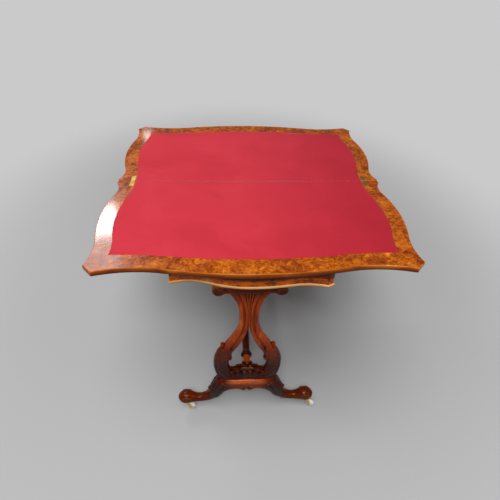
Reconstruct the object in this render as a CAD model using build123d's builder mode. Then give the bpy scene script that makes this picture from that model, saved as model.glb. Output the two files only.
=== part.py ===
from build123d import *
import os
from math import cos, radians, sin

# Serpentine card table: a swivel and fold top on a shallow frieze and two lyre end supports.
# Millimetres, +Z up. The origin is on the floor under the middle of the open top.
# The base's long axis runs along Y, its front faces +X, and its near end is at -Y.

# The whole table
table_height = 740.0
base_shift = 16.0               # the open top's middle stands this far forward of the base's middle
overrun = 5.0                   # how far a cut runs past what it cuts
seat_clearance = 0.3            # between pieces that slide over or meet each other when they move

# Leaves
leaf_half_length = 465.0        # to the bulge of each short side
leaf_depth = 473.0              # from the hinge line to the bulge of the front
leaf_thickness = 20.0
leaf_gap = 0.3                  # between the two hinge edges
veneer_thickness = 1.0
baize_thickness = 0.9
edge_band = 2.4                 # solid rim outside the veneer
thumb_radius = 8.0              # rounding of the lower edge
arris_radius = 2.0              # rounding of the upper edge
hinge_arris = 1.3               # chamfer along the hinge line
side_border = 49.0              # burr border at the side's bulge
front_border = 59.0             # burr border at the front's bulge
show_margin = 14.0              # rim outside the show veneer of the closed top
show_thickness = 0.8

hinge_end_shares = (0.970, 0.0)
hinge_ear_shares = (0.9763, 0.0211)
side_low_turn_shares = (0.958, 0.1797)
side_bulge_shares = (1.0, 0.4545)
side_high_turn_shares = (0.9731, 0.6723)
ear_side_shares = (0.982, 0.91)
ear_front_shares = (0.928, 0.966)
front_turn_shares = (0.5269, 0.9514)
front_apex_shares = (0.0, 1.0)

baize_end_shares = (0.9423, 0.0)
baize_low_turn_shares = (0.9675, 0.2343)
baize_bulge_shares = (1.0, 0.5266)
baize_high_turn_shares = (0.9736, 0.7536)
baize_corner_shares = (0.9591, 0.9444)
baize_front_turn_shares = (0.5649, 0.9638)
baize_apex_shares = (0.0, 1.0)

# Link hinges
hinge_place_share = 0.8667      # of the leaf's half length, from its middle to a hinge
plate_width = 13.0
plate_length = 33.0
plate_thickness = 2.5
knuckle_length = 9.0
knuckle_depth = 6.5
plate_fit = 0.05                # between a plate and its mortise
pin_depth = 2.0                 # pin axis below the playing surface
closed_gap = 0.3                # between the playing surfaces when the top is folded
pin_radius = 0.9
pin_fit = 0.05
pin_length = 11.0
link_width = 4.6
link_end_radius = 1.75
link_side_clearance = 0.2
link_end_clearance = 0.35
plate_screw_places_shares = (0.45, 0.82)
plate_screw_head_radius = 2.6
plate_screw_radius = 1.3
plate_screw_length = 12.0
screw_fit = 0.05

# Frieze
frieze_height = 60.0
closed_back_share = 0.482       # of the closed top's depth, from the base's middle to its hinge edge
frieze_back_inset = 4.0         # from the closed top's back edge to the straight back
frieze_front_inset = 15.0       # from its front bulge to the bulge of the front
frieze_end_inset = 19.0         # from a leaf's bulge to the bulge of an end
back_rail_thickness = 22.0
front_rail_thickness = 44.0
end_rail_thickness = 44.0
well_bottom_thickness = 8.0
well_bottom_lift = 4.0
bead_projection = 4.0
bead_height = 8.0
bead_radius = 3.0
block_leg = 34.0
block_height = 36.0

back_corner_shares = (1.0, 0.942)
back_turn_shares = (0.513, 0.951)
end_apex_shares = (0.018, 1.0)
front_side_turn_shares = (0.52, 0.98)
front_ear_end_shares = (0.938, 0.993)
front_ear_side_shares = (1.0, 0.978)
front_rail_turn_shares = (0.938, 0.504)
front_rail_apex_shares = (1.0, 0.0)

# Pivot and stop
pivot_board_thickness = 26.0
cross_rail_width = 22.0
cross_rail_share = 0.237        # of the leaf's half length
bolt_radius = 6.0
bolt_fit = 0.05
bolt_head_radius = 12.0
bolt_head_height = 3.0
bolt_end = 1.5                  # bolt left standing below the nut
washer_radius = 15.0
washer_thickness = 2.0
nut_flats = 19.0
nut_height = 7.0
pivot_plate_length = 110.0
pivot_plate_width = 50.0
pivot_plate_thickness = 4.0
pivot_plate_corner = 8.0
pivot_screw_spacing = 86.0
pivot_screw_gauge = 28.0
pivot_screw_radius = 2.2
pivot_screw_head_radius = 4.4
pivot_screw_length = 14.0
stop_radius = 10.0
stop_drop = 28.0
stop_socket = 8.0

# Supports
support_inset = 26.0            # from the bulge of an end to the middle of a lyre
foot_top = 192.0
lyre_half_width = 115.0
lyre_thickness = 28.0
lyre_round = 2.0                # rounding of the arms' front and back edges
lyre_joint = 0.3                # glue line between the two arms
bearer_half_length = 108.0
bearer_thickness = 38.0
bearer_slab = 31.0
volute_radius = 18.5
volute_eye_radius = 5.5
volute_eye_height = 2.0
volute_groove = 3.2
volute_groove_depth = 1.5
wedge_half_width = 14.0
wedge_thickness = 27.0
wedge_clearance = 0.3
bearer_screw_place = 66.0
bearer_screw_radius = 2.6
bearer_screw_head_radius = 5.0
bearer_screw_head_height = 3.0
bearer_screw_bite = 26.0
cluster_half_width = 46.0
cluster_height = 64.0
cluster_thickness = 34.0

arm_top_shares = (0.539, 1.0)
arm_outer_upper_shares = ((0.4, 0.96), (0.313, 0.916), (0.261, 0.866), (0.239, 0.808), (0.235, 0.74),
                          (0.252, 0.664), (0.322, 0.6), (0.435, 0.54), (0.539, 0.495))
arm_outer_shoulder_shares = (0.652, 0.444)
arm_outer_nib_shares = (0.735, 0.455)
arm_outer_hook_shares = (0.791, 0.421)
arm_outer_lower_shares = ((0.835, 0.362), (0.939, 0.288), (0.996, 0.208), (0.996, 0.151), (0.948, 0.073))
arm_foot_outer_share = 0.878
arm_foot_inner_share = 0.4
arm_lap_shares = (0.4, 0.128)
arm_inner_nib_shares = ((0.54, 0.142), (0.58, 0.17), (0.487, 0.224), (0.461, 0.254), (0.48, 0.279))
arm_inner_nib_end_shares = (0.53, 0.286)
arm_inner_upper_shares = ((0.452, 0.318), (0.322, 0.382), (0.174, 0.458), (0.07, 0.531))
arm_crotch_share = 0.591
arm_wedge_foot_share = 0.751

cluster_lobe_shares = ((0.99, 0.0), (0.99, 0.9), (0.86, 0.98), (0.7, 0.91), (0.56, 0.99), (0.42, 0.93),
                       (0.3, 1.02), (0.14, 0.96), (0.0, 1.02))

# Feet
foot_half_length = 253.0
foot_thickness = 50.0
foot_waist_thickness = 31.0
foot_toe_thickness = 52.0
toe_half_share = 0.1186         # of the foot's half length
toe_half_height = 23.0
toe_centre_height = 65.0
foot_flat_share = 0.379
toe_top_shares = ((0.411, 0.943), (0.443, 0.849), (0.49, 0.729), (0.545, 0.526), (0.597, 0.422),
                  (0.68, 0.37), (0.79, 0.405))
foot_under_shares = ((0.79, 0.222), (0.68, 0.219), (0.593, 0.24), (0.514, 0.276), (0.443, 0.375),
                     (0.387, 0.51), (0.344, 0.609), (0.277, 0.688), (0.178, 0.734), (0.111, 0.74))
pendant_shares = ((0.095, 0.73), (0.051, 0.62), (0.0, 0.677))
plan_waist_share = 0.68
plan_shoulder_share = 0.38

# Stretcher
stretcher_height = 228.0
tenon_radius = 10.0
tenon_length = 20.0
tenon_fit = 0.05
stretcher_radius = 20.0         # the largest collar
stretcher_shares = ((0.0, 0.78), (0.02, 0.84), (0.035, 0.6), (0.09, 0.58), (0.105, 0.86), (0.122, 1.0),
                    (0.14, 0.86), (0.15, 0.62), (0.2, 0.68), (0.34, 0.72), (0.55, 0.64), (0.78, 0.54),
                    (0.86, 0.52), (0.88, 0.74), (0.91, 0.8), (0.94, 0.6), (1.0, 0.9))

# Castors
castor_place_share = 0.9012     # of the foot's half length, from the base's middle to a stem
castor_wheel_radius = 16.0
castor_wheel_width = 14.0
castor_wheel_round = 4.0
castor_trail = 23.0
castor_side_gap = 0.6
castor_cheek = 2.4
castor_axle_radius = 2.5
castor_axle_fit = 0.05
castor_crown = 4.5
castor_crown_radius = 9.0
castor_stem_radius = 4.0
castor_stem_length = 26.0
castor_stem_fit = 0.05
socket_wall = 2.0
socket_plate_radius = 13.0
socket_plate_thickness = 2.5
castor_headings = {"near_back": -21.0, "near_front": -34.0, "far_back": 155.0, "far_front": 24.0}

# Levels, worked out from the sizes above
playing_surface = table_height
leaf_bottom = playing_surface - leaf_thickness
frieze_top = leaf_bottom - seat_clearance
frieze_bottom = frieze_top - frieze_height
well_floor = frieze_bottom + well_bottom_lift + well_bottom_thickness
bearer_bottom = frieze_bottom - bearer_slab
lyre_height = bearer_bottom - foot_top
pin_level = playing_surface - pin_depth
pin_half_spacing = pin_depth + closed_gap / 2
base_x = -base_shift
hinge_spacing = 2 * hinge_place_share * leaf_half_length
closed_back = closed_back_share * leaf_depth
frieze_back = closed_back - frieze_back_inset
frieze_front = leaf_depth - closed_back - frieze_front_inset
frieze_half_length = leaf_half_length - frieze_end_inset
well_back = frieze_back - back_rail_thickness
well_front = frieze_front - front_rail_thickness
well_half_length = frieze_half_length - end_rail_thickness
cross_rail_place = cross_rail_share * leaf_half_length
support_plane = frieze_half_length - support_inset
toe_half_length = toe_half_share * foot_half_length
castor_place = castor_place_share * foot_half_length
pivot_offset = (closed_back + base_shift) / 2
pivot_board_top = frieze_top - seat_clearance
pivot_board_bottom = pivot_board_top - pivot_board_thickness
socket_bottom = toe_centre_height - toe_half_height - socket_plate_thickness / 2
crown_top = socket_bottom - seat_clearance
crown_bottom = crown_top - castor_crown

near = -1
far = 1
ends = {"near": near, "far": far}
sides = {"back": -1, "front": 1}


def place(shares, width, height, base=0):
    """A point given in shares of a width and a height."""
    return (shares[0] * width, base + shares[1] * height)


def places(table, width, height, base=0):
    """Several points given in shares."""
    return [place(shares, width, height, base) for shares in table]


def swept_pair(start, turn, tip, heading):
    """Two arcs of a serpentine edge: out of start along heading, turning over at turn, ending at tip."""
    first = TangentArc(start, turn, tangent=heading)
    TangentArc(turn, tip, tangent=first % 1)


def save(part, name):
    """Label a finished piece and write it."""
    part.label = name
    export_step(part, f"parts/{name}.step")


os.makedirs("parts", exist_ok=True)


# Outlines of the top

def top_outline():
    """The open top's outline: one quarter, mirrored to the side and away."""
    size = (leaf_half_length, leaf_depth)
    with BuildSketch() as outline:
        with BuildLine():
            Line(place(hinge_end_shares, *size), place(hinge_ear_shares, *size))
            swept_pair(place(side_bulge_shares, *size), place(side_low_turn_shares, *size),
                       place(hinge_ear_shares, *size), (0, -1))
            swept_pair(place(side_bulge_shares, *size), place(side_high_turn_shares, *size),
                       place(ear_side_shares, *size), (0, 1))
            Line(place(ear_side_shares, *size), place(ear_front_shares, *size))
            swept_pair(place(front_apex_shares, *size), place(front_turn_shares, *size),
                       place(ear_front_shares, *size), (1, 0))
            mirror(about=Plane.YZ)
            mirror(about=Plane.XZ)
        make_face()
    return outline.sketch


def baize_outline():
    """The baize of the open top, with a wider border at the front than at the sides."""
    size = (leaf_half_length - side_border, leaf_depth - front_border)
    with BuildSketch() as outline:
        with BuildLine():
            swept_pair(place(baize_bulge_shares, *size), place(baize_low_turn_shares, *size),
                       place(baize_end_shares, *size), (0, -1))
            swept_pair(place(baize_bulge_shares, *size), place(baize_high_turn_shares, *size),
                       place(baize_corner_shares, *size), (0, 1))
            swept_pair(place(baize_apex_shares, *size), place(baize_front_turn_shares, *size),
                       place(baize_corner_shares, *size), (1, 0))
            mirror(about=Plane.YZ)
            mirror(about=Plane.XZ)
        make_face()
    return outline.sketch


def keep_leaf_side(side):
    """Keep one leaf's half of a sketch, up to its hinge edge."""
    reach = leaf_depth + overrun
    with Locations((0, side * (leaf_gap + reach) / 2)):
        Rectangle(2 * (leaf_half_length + overrun), reach, mode=Mode.INTERSECT)


def hinge_groove(side):
    """What the chamfer along the hinge line takes off a leaf, so that the fold clears."""
    edge = side * leaf_gap / 2
    with BuildPart() as groove:
        with BuildSketch(Plane.YZ):
            with BuildLine():
                Polyline((edge, playing_surface - hinge_arris), (edge, playing_surface + overrun),
                         (edge + side * (hinge_arris + overrun), playing_surface + overrun), close=True)
            make_face()
        extrude(amount=leaf_half_length + overrun, both=True)
    return groove.part


def hinge_places(side, share):
    """The centres of both hinges, a share of the plate's length away from the hinge line."""
    return [(hand * hinge_spacing / 2, side * (leaf_gap / 2 + share * plate_length)) for hand in (-1, 1)]


def plate_block(side, grow):
    """Sketches of both hinge plates' recess or body, grown by a fit."""
    with Locations(*hinge_places(side, 1 / 2)):
        Rectangle(plate_width + 2 * grow, plate_length + 2 * grow)


def leaf_board(side):
    """The moulded board of one leaf, cut for its veneer, baize and hinge plates."""
    outline = top_outline()
    groove = hinge_groove(side)
    with BuildPart() as board:
        with BuildSketch(Plane.XY.offset(leaf_bottom)):
            add(outline)
            keep_leaf_side(side)
        extrude(amount=leaf_thickness)
        outer = board.edges().filter_by(lambda edge: abs(edge.center().Y) > leaf_gap)
        fillet(outer.group_by(Axis.Z)[0], radius=thumb_radius)
        outer = board.edges().filter_by(lambda edge: abs(edge.center().Y) > leaf_gap)
        fillet(outer.group_by(Axis.Z)[-1], radius=arris_radius)
        with BuildSketch(Plane.XY.offset(playing_surface - veneer_thickness)):
            add(outline)
            offset(amount=-edge_band, kind=Kind.INTERSECTION)
            keep_leaf_side(side)
        extrude(amount=veneer_thickness + overrun, mode=Mode.SUBTRACT)
        add(groove, mode=Mode.SUBTRACT)
        with BuildSketch(Plane.XY.offset(playing_surface)):
            plate_block(side, plate_fit)
        extrude(amount=-plate_thickness, mode=Mode.SUBTRACT)
        with BuildSketch(Plane.XY.offset(playing_surface)):
            with Locations(*hinge_places(side, 0)):
                Rectangle(plate_width + 2 * plate_fit, 2 * (knuckle_length + plate_fit))
        extrude(amount=-knuckle_depth, mode=Mode.SUBTRACT)
        for share in plate_screw_places_shares:
            with Locations(*[(x, y, playing_surface) for x, y in hinge_places(side, share)]):
                Hole(plate_screw_radius + screw_fit, depth=plate_screw_length)
    return board.part


def border_veneer(side):
    """The burr border of one leaf, a ring between the rim and the baize."""
    outer = top_outline()
    inner = baize_outline()
    groove = hinge_groove(side)
    with BuildPart() as border:
        with BuildSketch(Plane.XY.offset(playing_surface - veneer_thickness)):
            add(outer)
            offset(amount=-edge_band, kind=Kind.INTERSECTION)
            add(inner, mode=Mode.SUBTRACT)
            keep_leaf_side(side)
        extrude(amount=veneer_thickness)
        add(groove, mode=Mode.SUBTRACT)
        with BuildSketch(Plane.XY.offset(playing_surface - veneer_thickness)):
            plate_block(side, plate_fit)
        extrude(amount=veneer_thickness, mode=Mode.SUBTRACT)
    return border.part


def baize_sheet(side):
    """The baize of one leaf."""
    outline = baize_outline()
    groove = hinge_groove(side)
    with BuildPart() as baize:
        with BuildSketch(Plane.XY.offset(playing_surface - veneer_thickness)):
            add(outline)
            keep_leaf_side(side)
        extrude(amount=baize_thickness)
        add(groove, mode=Mode.SUBTRACT)
    return baize.part


def hinge_plates(side):
    """Both brass plates of one leaf, each with a slotted knuckle for its link."""
    slot_length = pin_half_spacing + link_end_radius + link_end_clearance
    groove = hinge_groove(side)
    with BuildPart() as plates:
        with BuildSketch(Plane.XY.offset(playing_surface)):
            plate_block(side, 0)
            keep_leaf_side(side)
        extrude(amount=-plate_thickness)
        with BuildSketch(Plane.XY.offset(playing_surface)):
            with Locations(*hinge_places(side, 0)):
                Rectangle(plate_width, 2 * knuckle_length)
            keep_leaf_side(side)
        extrude(amount=-knuckle_depth)
        with BuildSketch(Plane.XY.offset(playing_surface)):
            with Locations(*hinge_places(side, 0)):
                Rectangle(link_width + 2 * link_side_clearance, 2 * slot_length)
        extrude(amount=-knuckle_depth, mode=Mode.SUBTRACT)
        add(groove, mode=Mode.SUBTRACT)
        with BuildSketch(Plane.YZ):
            with Locations((side * pin_half_spacing, pin_level)):
                Circle(pin_radius + pin_fit)
        extrude(amount=leaf_half_length, both=True, mode=Mode.SUBTRACT)
        for share in plate_screw_places_shares:
            with Locations(*[(x, y, playing_surface) for x, y in hinge_places(side, share)]):
                CounterSinkHole(plate_screw_radius + screw_fit, plate_screw_head_radius + screw_fit,
                                depth=plate_thickness)
    return plates.part


def plate_screws(side):
    """Countersunk screws of both plates of one leaf."""
    head_height = plate_screw_head_radius - plate_screw_radius
    with BuildPart() as screws:
        for share in plate_screw_places_shares:
            for x, y in hinge_places(side, share):
                with BuildSketch(Plane.XZ.offset(-y)):
                    with BuildLine():
                        Polyline((x, playing_surface), (x + plate_screw_head_radius, playing_surface),
                                 (x + plate_screw_radius, playing_surface - head_height),
                                 (x + plate_screw_radius, playing_surface - plate_screw_length),
                                 (x, playing_surface - plate_screw_length), close=True)
                    make_face()
                revolve(axis=Axis((x, y, 0), (0, 0, 1)))
    return screws.part


# Lower leaf, carried on the pivot

pivot_x = -pivot_offset
pivot_y = -pivot_offset
pivot_screws_at = [(pivot_x + hand * pivot_screw_spacing / 2, pivot_y + edge * pivot_screw_gauge / 2)
                   for hand in (-1, 1) for edge in (-1, 1)]
stop_half_board = well_back + base_shift - pivot_offset - 2 * stop_radius - 2 * seat_clearance
stop_offset = stop_half_board + stop_radius + seat_clearance
stop_x = pivot_x + stop_offset
stop_y = pivot_y + stop_offset

near_board = leaf_board(near)
with BuildPart() as lower_leaf:
    add(near_board)
    with BuildSketch(Plane.XY.offset(leaf_bottom)):
        with Locations((pivot_x, pivot_y)):
            RectangleRounded(pivot_plate_length + 2 * plate_fit, pivot_plate_width + 2 * plate_fit,
                             pivot_plate_corner)
    extrude(amount=pivot_plate_thickness, mode=Mode.SUBTRACT)
    with BuildSketch(Plane.XY.offset(leaf_bottom)):
        with Locations((pivot_x, pivot_y)):
            Circle(bolt_head_radius + plate_fit)
    extrude(amount=pivot_plate_thickness + bolt_head_height, mode=Mode.SUBTRACT)
    with BuildSketch(Plane.XY.offset(leaf_bottom)):
        with Locations(*pivot_screws_at):
            Circle(pivot_screw_radius + screw_fit)
    extrude(amount=pivot_screw_length, mode=Mode.SUBTRACT)
    with BuildSketch(Plane.XY.offset(leaf_bottom)):
        with Locations((stop_x, stop_y)):
            Circle(stop_radius + screw_fit)
    extrude(amount=stop_socket, mode=Mode.SUBTRACT)
save(lower_leaf.part, "lower_leaf")
save(border_veneer(near), "lower_border")
save(baize_sheet(near), "lower_baize")
save(hinge_plates(near), "lower_hinge_plates")
save(plate_screws(near), "lower_hinge_screws")

with BuildPart() as pivot_plate:
    with BuildSketch(Plane.XY.offset(leaf_bottom)):
        with Locations((pivot_x, pivot_y)):
            RectangleRounded(pivot_plate_length, pivot_plate_width, pivot_plate_corner)
            Circle(bolt_radius, mode=Mode.SUBTRACT)
    extrude(amount=pivot_plate_thickness)
    with Locations(*[Location((x, y, leaf_bottom), (180, 0, 0)) for x, y in pivot_screws_at]):
        CounterSinkHole(pivot_screw_radius + screw_fit, pivot_screw_head_radius + screw_fit,
                        depth=pivot_plate_thickness)
save(pivot_plate.part, "pivot_plate")

with BuildPart() as pivot_screws:
    for x, y in pivot_screws_at:
        with BuildSketch(Plane.XZ.offset(-y)):
            with BuildLine():
                Polyline((x, leaf_bottom), (x + pivot_screw_head_radius, leaf_bottom),
                         (x + pivot_screw_radius, leaf_bottom + pivot_screw_head_radius - pivot_screw_radius),
                         (x + pivot_screw_radius, leaf_bottom + pivot_screw_length),
                         (x, leaf_bottom + pivot_screw_length), close=True)
            make_face()
        revolve(axis=Axis((x, y, 0), (0, 0, 1)))
save(pivot_screws.part, "pivot_plate_screws")

bolt_bottom = pivot_board_bottom - washer_thickness - nut_height - bolt_end
with BuildPart() as pivot_bolt:
    with BuildSketch(Plane.XY.offset(bolt_bottom)):
        with Locations((pivot_x, pivot_y)):
            Circle(bolt_radius)
    extrude(amount=leaf_bottom + pivot_plate_thickness - bolt_bottom)
    with BuildSketch(Plane.XY.offset(leaf_bottom + pivot_plate_thickness)):
        with Locations((pivot_x, pivot_y)):
            Circle(bolt_head_radius)
    extrude(amount=bolt_head_height)
save(pivot_bolt.part, "pivot_bolt")

with BuildPart() as pivot_washer:
    with BuildSketch(Plane.XY.offset(pivot_board_bottom - washer_thickness - seat_clearance)):
        with Locations((pivot_x, pivot_y)):
            Circle(washer_radius)
            Circle(bolt_radius + bolt_fit, mode=Mode.SUBTRACT)
    extrude(amount=washer_thickness)
save(pivot_washer.part, "pivot_washer")

with BuildPart() as pivot_nut:
    with BuildSketch(Plane.XY.offset(pivot_board_bottom - washer_thickness - seat_clearance - nut_height)):
        with Locations((pivot_x, pivot_y)):
            RegularPolygon(nut_flats / 2, side_count=6, major_radius=False)
            Circle(bolt_radius, mode=Mode.SUBTRACT)
    extrude(amount=nut_height)
save(pivot_nut.part, "pivot_nut")

with BuildPart() as stop_peg:
    with BuildSketch(Plane.XY.offset(leaf_bottom - stop_drop)):
        with Locations((stop_x, stop_y)):
            Circle(stop_radius)
    extrude(amount=stop_drop + stop_socket)
save(stop_peg.part, "stop_peg")

# Upper leaf, which folds over on the links

whole_outline = top_outline()
far_board = leaf_board(far)
with BuildPart() as upper_leaf:
    add(far_board)
    with BuildSketch(Plane.XY.offset(leaf_bottom)):
        add(whole_outline)
        offset(amount=-show_margin, kind=Kind.INTERSECTION)
        keep_leaf_side(far)
    extrude(amount=show_thickness, mode=Mode.SUBTRACT)
save(upper_leaf.part, "upper_leaf")
save(border_veneer(far), "upper_border")
save(baize_sheet(far), "upper_baize")
save(hinge_plates(far), "upper_hinge_plates")
save(plate_screws(far), "upper_hinge_screws")

with BuildPart() as show_veneer:
    with BuildSketch(Plane.XY.offset(leaf_bottom)):
        add(whole_outline)
        offset(amount=-show_margin, kind=Kind.INTERSECTION)
        keep_leaf_side(far)
    extrude(amount=show_thickness)
save(show_veneer.part, "show_veneer")

# Links and pins between the leaves

with BuildPart() as hinge_links:
    for hand in (-1, 1):
        with BuildSketch(Plane.YZ.offset(hand * hinge_spacing / 2 - link_width / 2)):
            with Locations((0, pin_level)):
                SlotCenterToCenter(2 * pin_half_spacing, 2 * link_end_radius)
            with Locations((-pin_half_spacing, pin_level), (pin_half_spacing, pin_level)):
                Circle(pin_radius, mode=Mode.SUBTRACT)
        extrude(amount=link_width)
save(hinge_links.part, "hinge_links")

# The upper pins are stubs in the links, so that the leaf can turn about the line between both pins

with BuildPart() as hinge_pins:
    for hand in (-1, 1):
        for place_across, length in ((-pin_half_spacing, pin_length), (pin_half_spacing, link_width)):
            with BuildSketch(Plane.YZ.offset(hand * hinge_spacing / 2 - length / 2)):
                with Locations((place_across, pin_level)):
                    Circle(pin_radius)
            extrude(amount=length)
save(hinge_pins.part, "hinge_pins")


# Frieze

def frieze_outline():
    """Plan of the frieze: straight back, serpentine ends and front, canted ears at the corners."""
    back = (-frieze_back, frieze_half_length)
    front = (frieze_front, frieze_half_length)
    corner = place(back_corner_shares, *back)
    apex = place(end_apex_shares, *front)
    with BuildSketch() as outline:
        with BuildLine():
            Line((-frieze_back, 0), corner)
            swept_pair(apex, place(back_turn_shares, *back), corner, (-1, 0))
            swept_pair(apex, place(front_side_turn_shares, *front), place(front_ear_end_shares, *front),
                       (1, 0))
            Line(place(front_ear_end_shares, *front), place(front_ear_side_shares, *front))
            swept_pair(place(front_rail_apex_shares, *front), place(front_rail_turn_shares, *front),
                       place(front_ear_side_shares, *front), (0, 1))
            mirror(about=Plane.XZ)
        make_face()
    return outline.sketch.moved(Location((base_x, 0)))


def frieze_piece(low_x, high_x, low_y, high_y):
    """The stretch of the frieze between four lines, in the base's own plan."""
    outline = frieze_outline()
    with BuildPart() as piece:
        with BuildSketch(Plane.XY.offset(frieze_bottom)):
            add(outline)
            with Locations((base_x + (low_x + high_x) / 2, (low_y + high_y) / 2)):
                Rectangle(high_x - low_x, high_y - low_y, mode=Mode.INTERSECT)
        extrude(amount=frieze_height)
    return piece.part


far_out = frieze_half_length + overrun
save(frieze_piece(well_front, frieze_front + overrun, -far_out, far_out), "frieze_front")
save(frieze_piece(-frieze_back - overrun, -well_back, -far_out, far_out), "frieze_back")
save(frieze_piece(-well_back, well_front, -far_out, -well_half_length), "frieze_end_near")
save(frieze_piece(-well_back, well_front, well_half_length, far_out), "frieze_end_far")

bead_line = frieze_outline()
with BuildPart() as frieze_bead:
    with BuildSketch(Plane.XY.offset(frieze_bottom)):
        add(bead_line)
        offset(amount=bead_projection, kind=Kind.ARC)
        add(bead_line, mode=Mode.SUBTRACT)
    extrude(amount=bead_height)
    for place_in_height in (-1, 0):
        flat = frieze_bead.faces().filter_by(Axis.Z).sort_by(Axis.Z)[place_in_height]
        fillet(flat.outer_wire().edges(), radius=bead_radius)
save(frieze_bead.part, "frieze_bead")

well_width = well_back + well_front
well_middle = base_x + (well_front - well_back) / 2

with BuildPart() as well_bottom:
    with BuildSketch(Plane.XY.offset(well_floor - well_bottom_thickness)):
        with Locations((well_middle, 0)):
            Rectangle(well_width, 2 * well_half_length)
    extrude(amount=well_bottom_thickness)
save(well_bottom.part, "well_bottom")

with BuildPart() as corner_blocks:
    for hand in (-1, 1):
        for end in (-1, 1):
            corner = (well_middle + hand * well_width / 2, end * well_half_length)
            with BuildSketch(Plane.XY.offset(well_floor)):
                with BuildLine():
                    Polyline(corner, (corner[0] - hand * block_leg, corner[1]),
                             (corner[0], corner[1] - end * block_leg), close=True)
                make_face()
            extrude(amount=block_height)
save(corner_blocks.part, "corner_blocks")

with BuildPart() as pivot_board:
    with BuildSketch(Plane.XY.offset(pivot_board_bottom)):
        with Locations((well_middle, pivot_y)):
            Rectangle(well_width, 2 * stop_half_board)
        with Locations((pivot_x, pivot_y)):
            Circle(bolt_radius + bolt_fit, mode=Mode.SUBTRACT)
    extrude(amount=pivot_board_thickness)
save(pivot_board.part, "pivot_board")

with BuildPart() as cross_rail:
    with BuildSketch(Plane.XY.offset(well_floor)):
        with Locations((well_middle, cross_rail_place + cross_rail_width / 2)):
            Rectangle(well_width, cross_rail_width)
    extrude(amount=pivot_board_top - well_floor)
save(cross_rail.part, "cross_rail")


# End supports

def arm_outline(hand):
    """Front view of one lyre arm: splayed top, waist, open bow, outer and inner curls, carved foot."""
    size = (lyre_half_width, lyre_height, foot_top)
    top = place(arm_top_shares, *size)
    shoulder = place(arm_outer_shoulder_shares, *size)
    hook = place(arm_outer_hook_shares, *size)
    foot_outer = (arm_foot_outer_share * lyre_half_width, foot_top)
    foot_inner = (arm_foot_inner_share * lyre_half_width, foot_top)
    lap = place(arm_lap_shares, *size)
    nib_end = place(arm_inner_nib_end_shares, *size)
    crotch = (lyre_joint / 2, foot_top + arm_crotch_share * lyre_height)
    wedge_foot = (lyre_joint / 2, foot_top + arm_wedge_foot_share * lyre_height)
    wedge_head = (wedge_half_width, bearer_bottom)

    def flip(points):
        return [(base_x + hand * x, z) for x, z in points]

    with BuildSketch() as outline:
        with BuildLine():
            Spline(*flip([top, *places(arm_outer_upper_shares, *size), shoulder]))
            ThreePointArc(*flip([shoulder, place(arm_outer_nib_shares, *size), hook]))
            Spline(*flip([hook, *places(arm_outer_lower_shares, *size), foot_outer]))
            Polyline(*flip([foot_outer, foot_inner, lap]))
            Spline(*flip([lap, *places(arm_inner_nib_shares, *size), nib_end]))
            Spline(*flip([nib_end, *places(arm_inner_upper_shares, *size), crotch]))
            Polyline(*flip([crotch, wedge_foot, wedge_head, top]))
        make_face()
    return outline.sketch


def lyre_arm(end, hand):
    """One lyre arm, sawn to its outline."""
    outline = arm_outline(hand)
    with BuildPart() as arm:
        with BuildSketch(Plane.XZ.offset(-end * support_plane)):
            add(outline)
        extrude(amount=lyre_thickness / 2, both=True)
        rim = arm.faces().filter_by(Axis.Y).edges().filter_by(GeomType.LINE, reverse=True)
        fillet(rim, radius=lyre_round)
    return arm.part


def lyre_wedge(end):
    """The wedge that fills the splay between the two arms."""
    foot_level = foot_top + arm_wedge_foot_share * lyre_height
    rise = bearer_bottom - foot_level
    slack = wedge_clearance * rise / wedge_half_width
    with BuildPart() as wedge:
        with BuildSketch(Plane.XZ.offset(-end * support_plane)):
            with BuildLine():
                Polyline((base_x, foot_level + slack), (base_x + wedge_half_width - wedge_clearance, bearer_bottom),
                         (base_x - wedge_half_width + wedge_clearance, bearer_bottom), close=True)
            make_face()
        extrude(amount=wedge_thickness / 2, both=True)
    return wedge.part


def bearer(end):
    """The block under the frieze, with a volute at each end."""
    centre_z = frieze_bottom - volute_radius
    centres = [(base_x + hand * (bearer_half_length - volute_radius), centre_z) for hand in (-1, 1)]
    with BuildPart() as block:
        with BuildSketch(Plane.XZ.offset(-end * support_plane)):
            with Locations((base_x, frieze_bottom - bearer_slab / 2)):
                Rectangle(2 * (bearer_half_length - volute_radius), bearer_slab)
            with Locations(*centres):
                Circle(volute_radius)
        extrude(amount=bearer_thickness / 2, both=True)
        for face in (-1, 1):
            level = -end * support_plane + face * bearer_thickness / 2
            with BuildSketch(Plane.XZ.offset(level)):
                with Locations(*centres):
                    Circle(volute_radius - volute_groove)
                    Circle(volute_radius - 2 * volute_groove, mode=Mode.SUBTRACT)
            extrude(amount=-face * volute_groove_depth, mode=Mode.SUBTRACT)
            with BuildSketch(Plane.XZ.offset(level)):
                with Locations(*centres):
                    Circle(volute_eye_radius)
            extrude(amount=face * volute_eye_height)
        with Locations(*[Location((base_x + hand * bearer_screw_place, end * support_plane, bearer_bottom),
                                  (180, 0, 0)) for hand in (-1, 1)]):
            CounterBoreHole(bearer_screw_radius + screw_fit, bearer_screw_head_radius + screw_fit,
                            bearer_screw_head_height, depth=bearer_slab)
    return block.part


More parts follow.
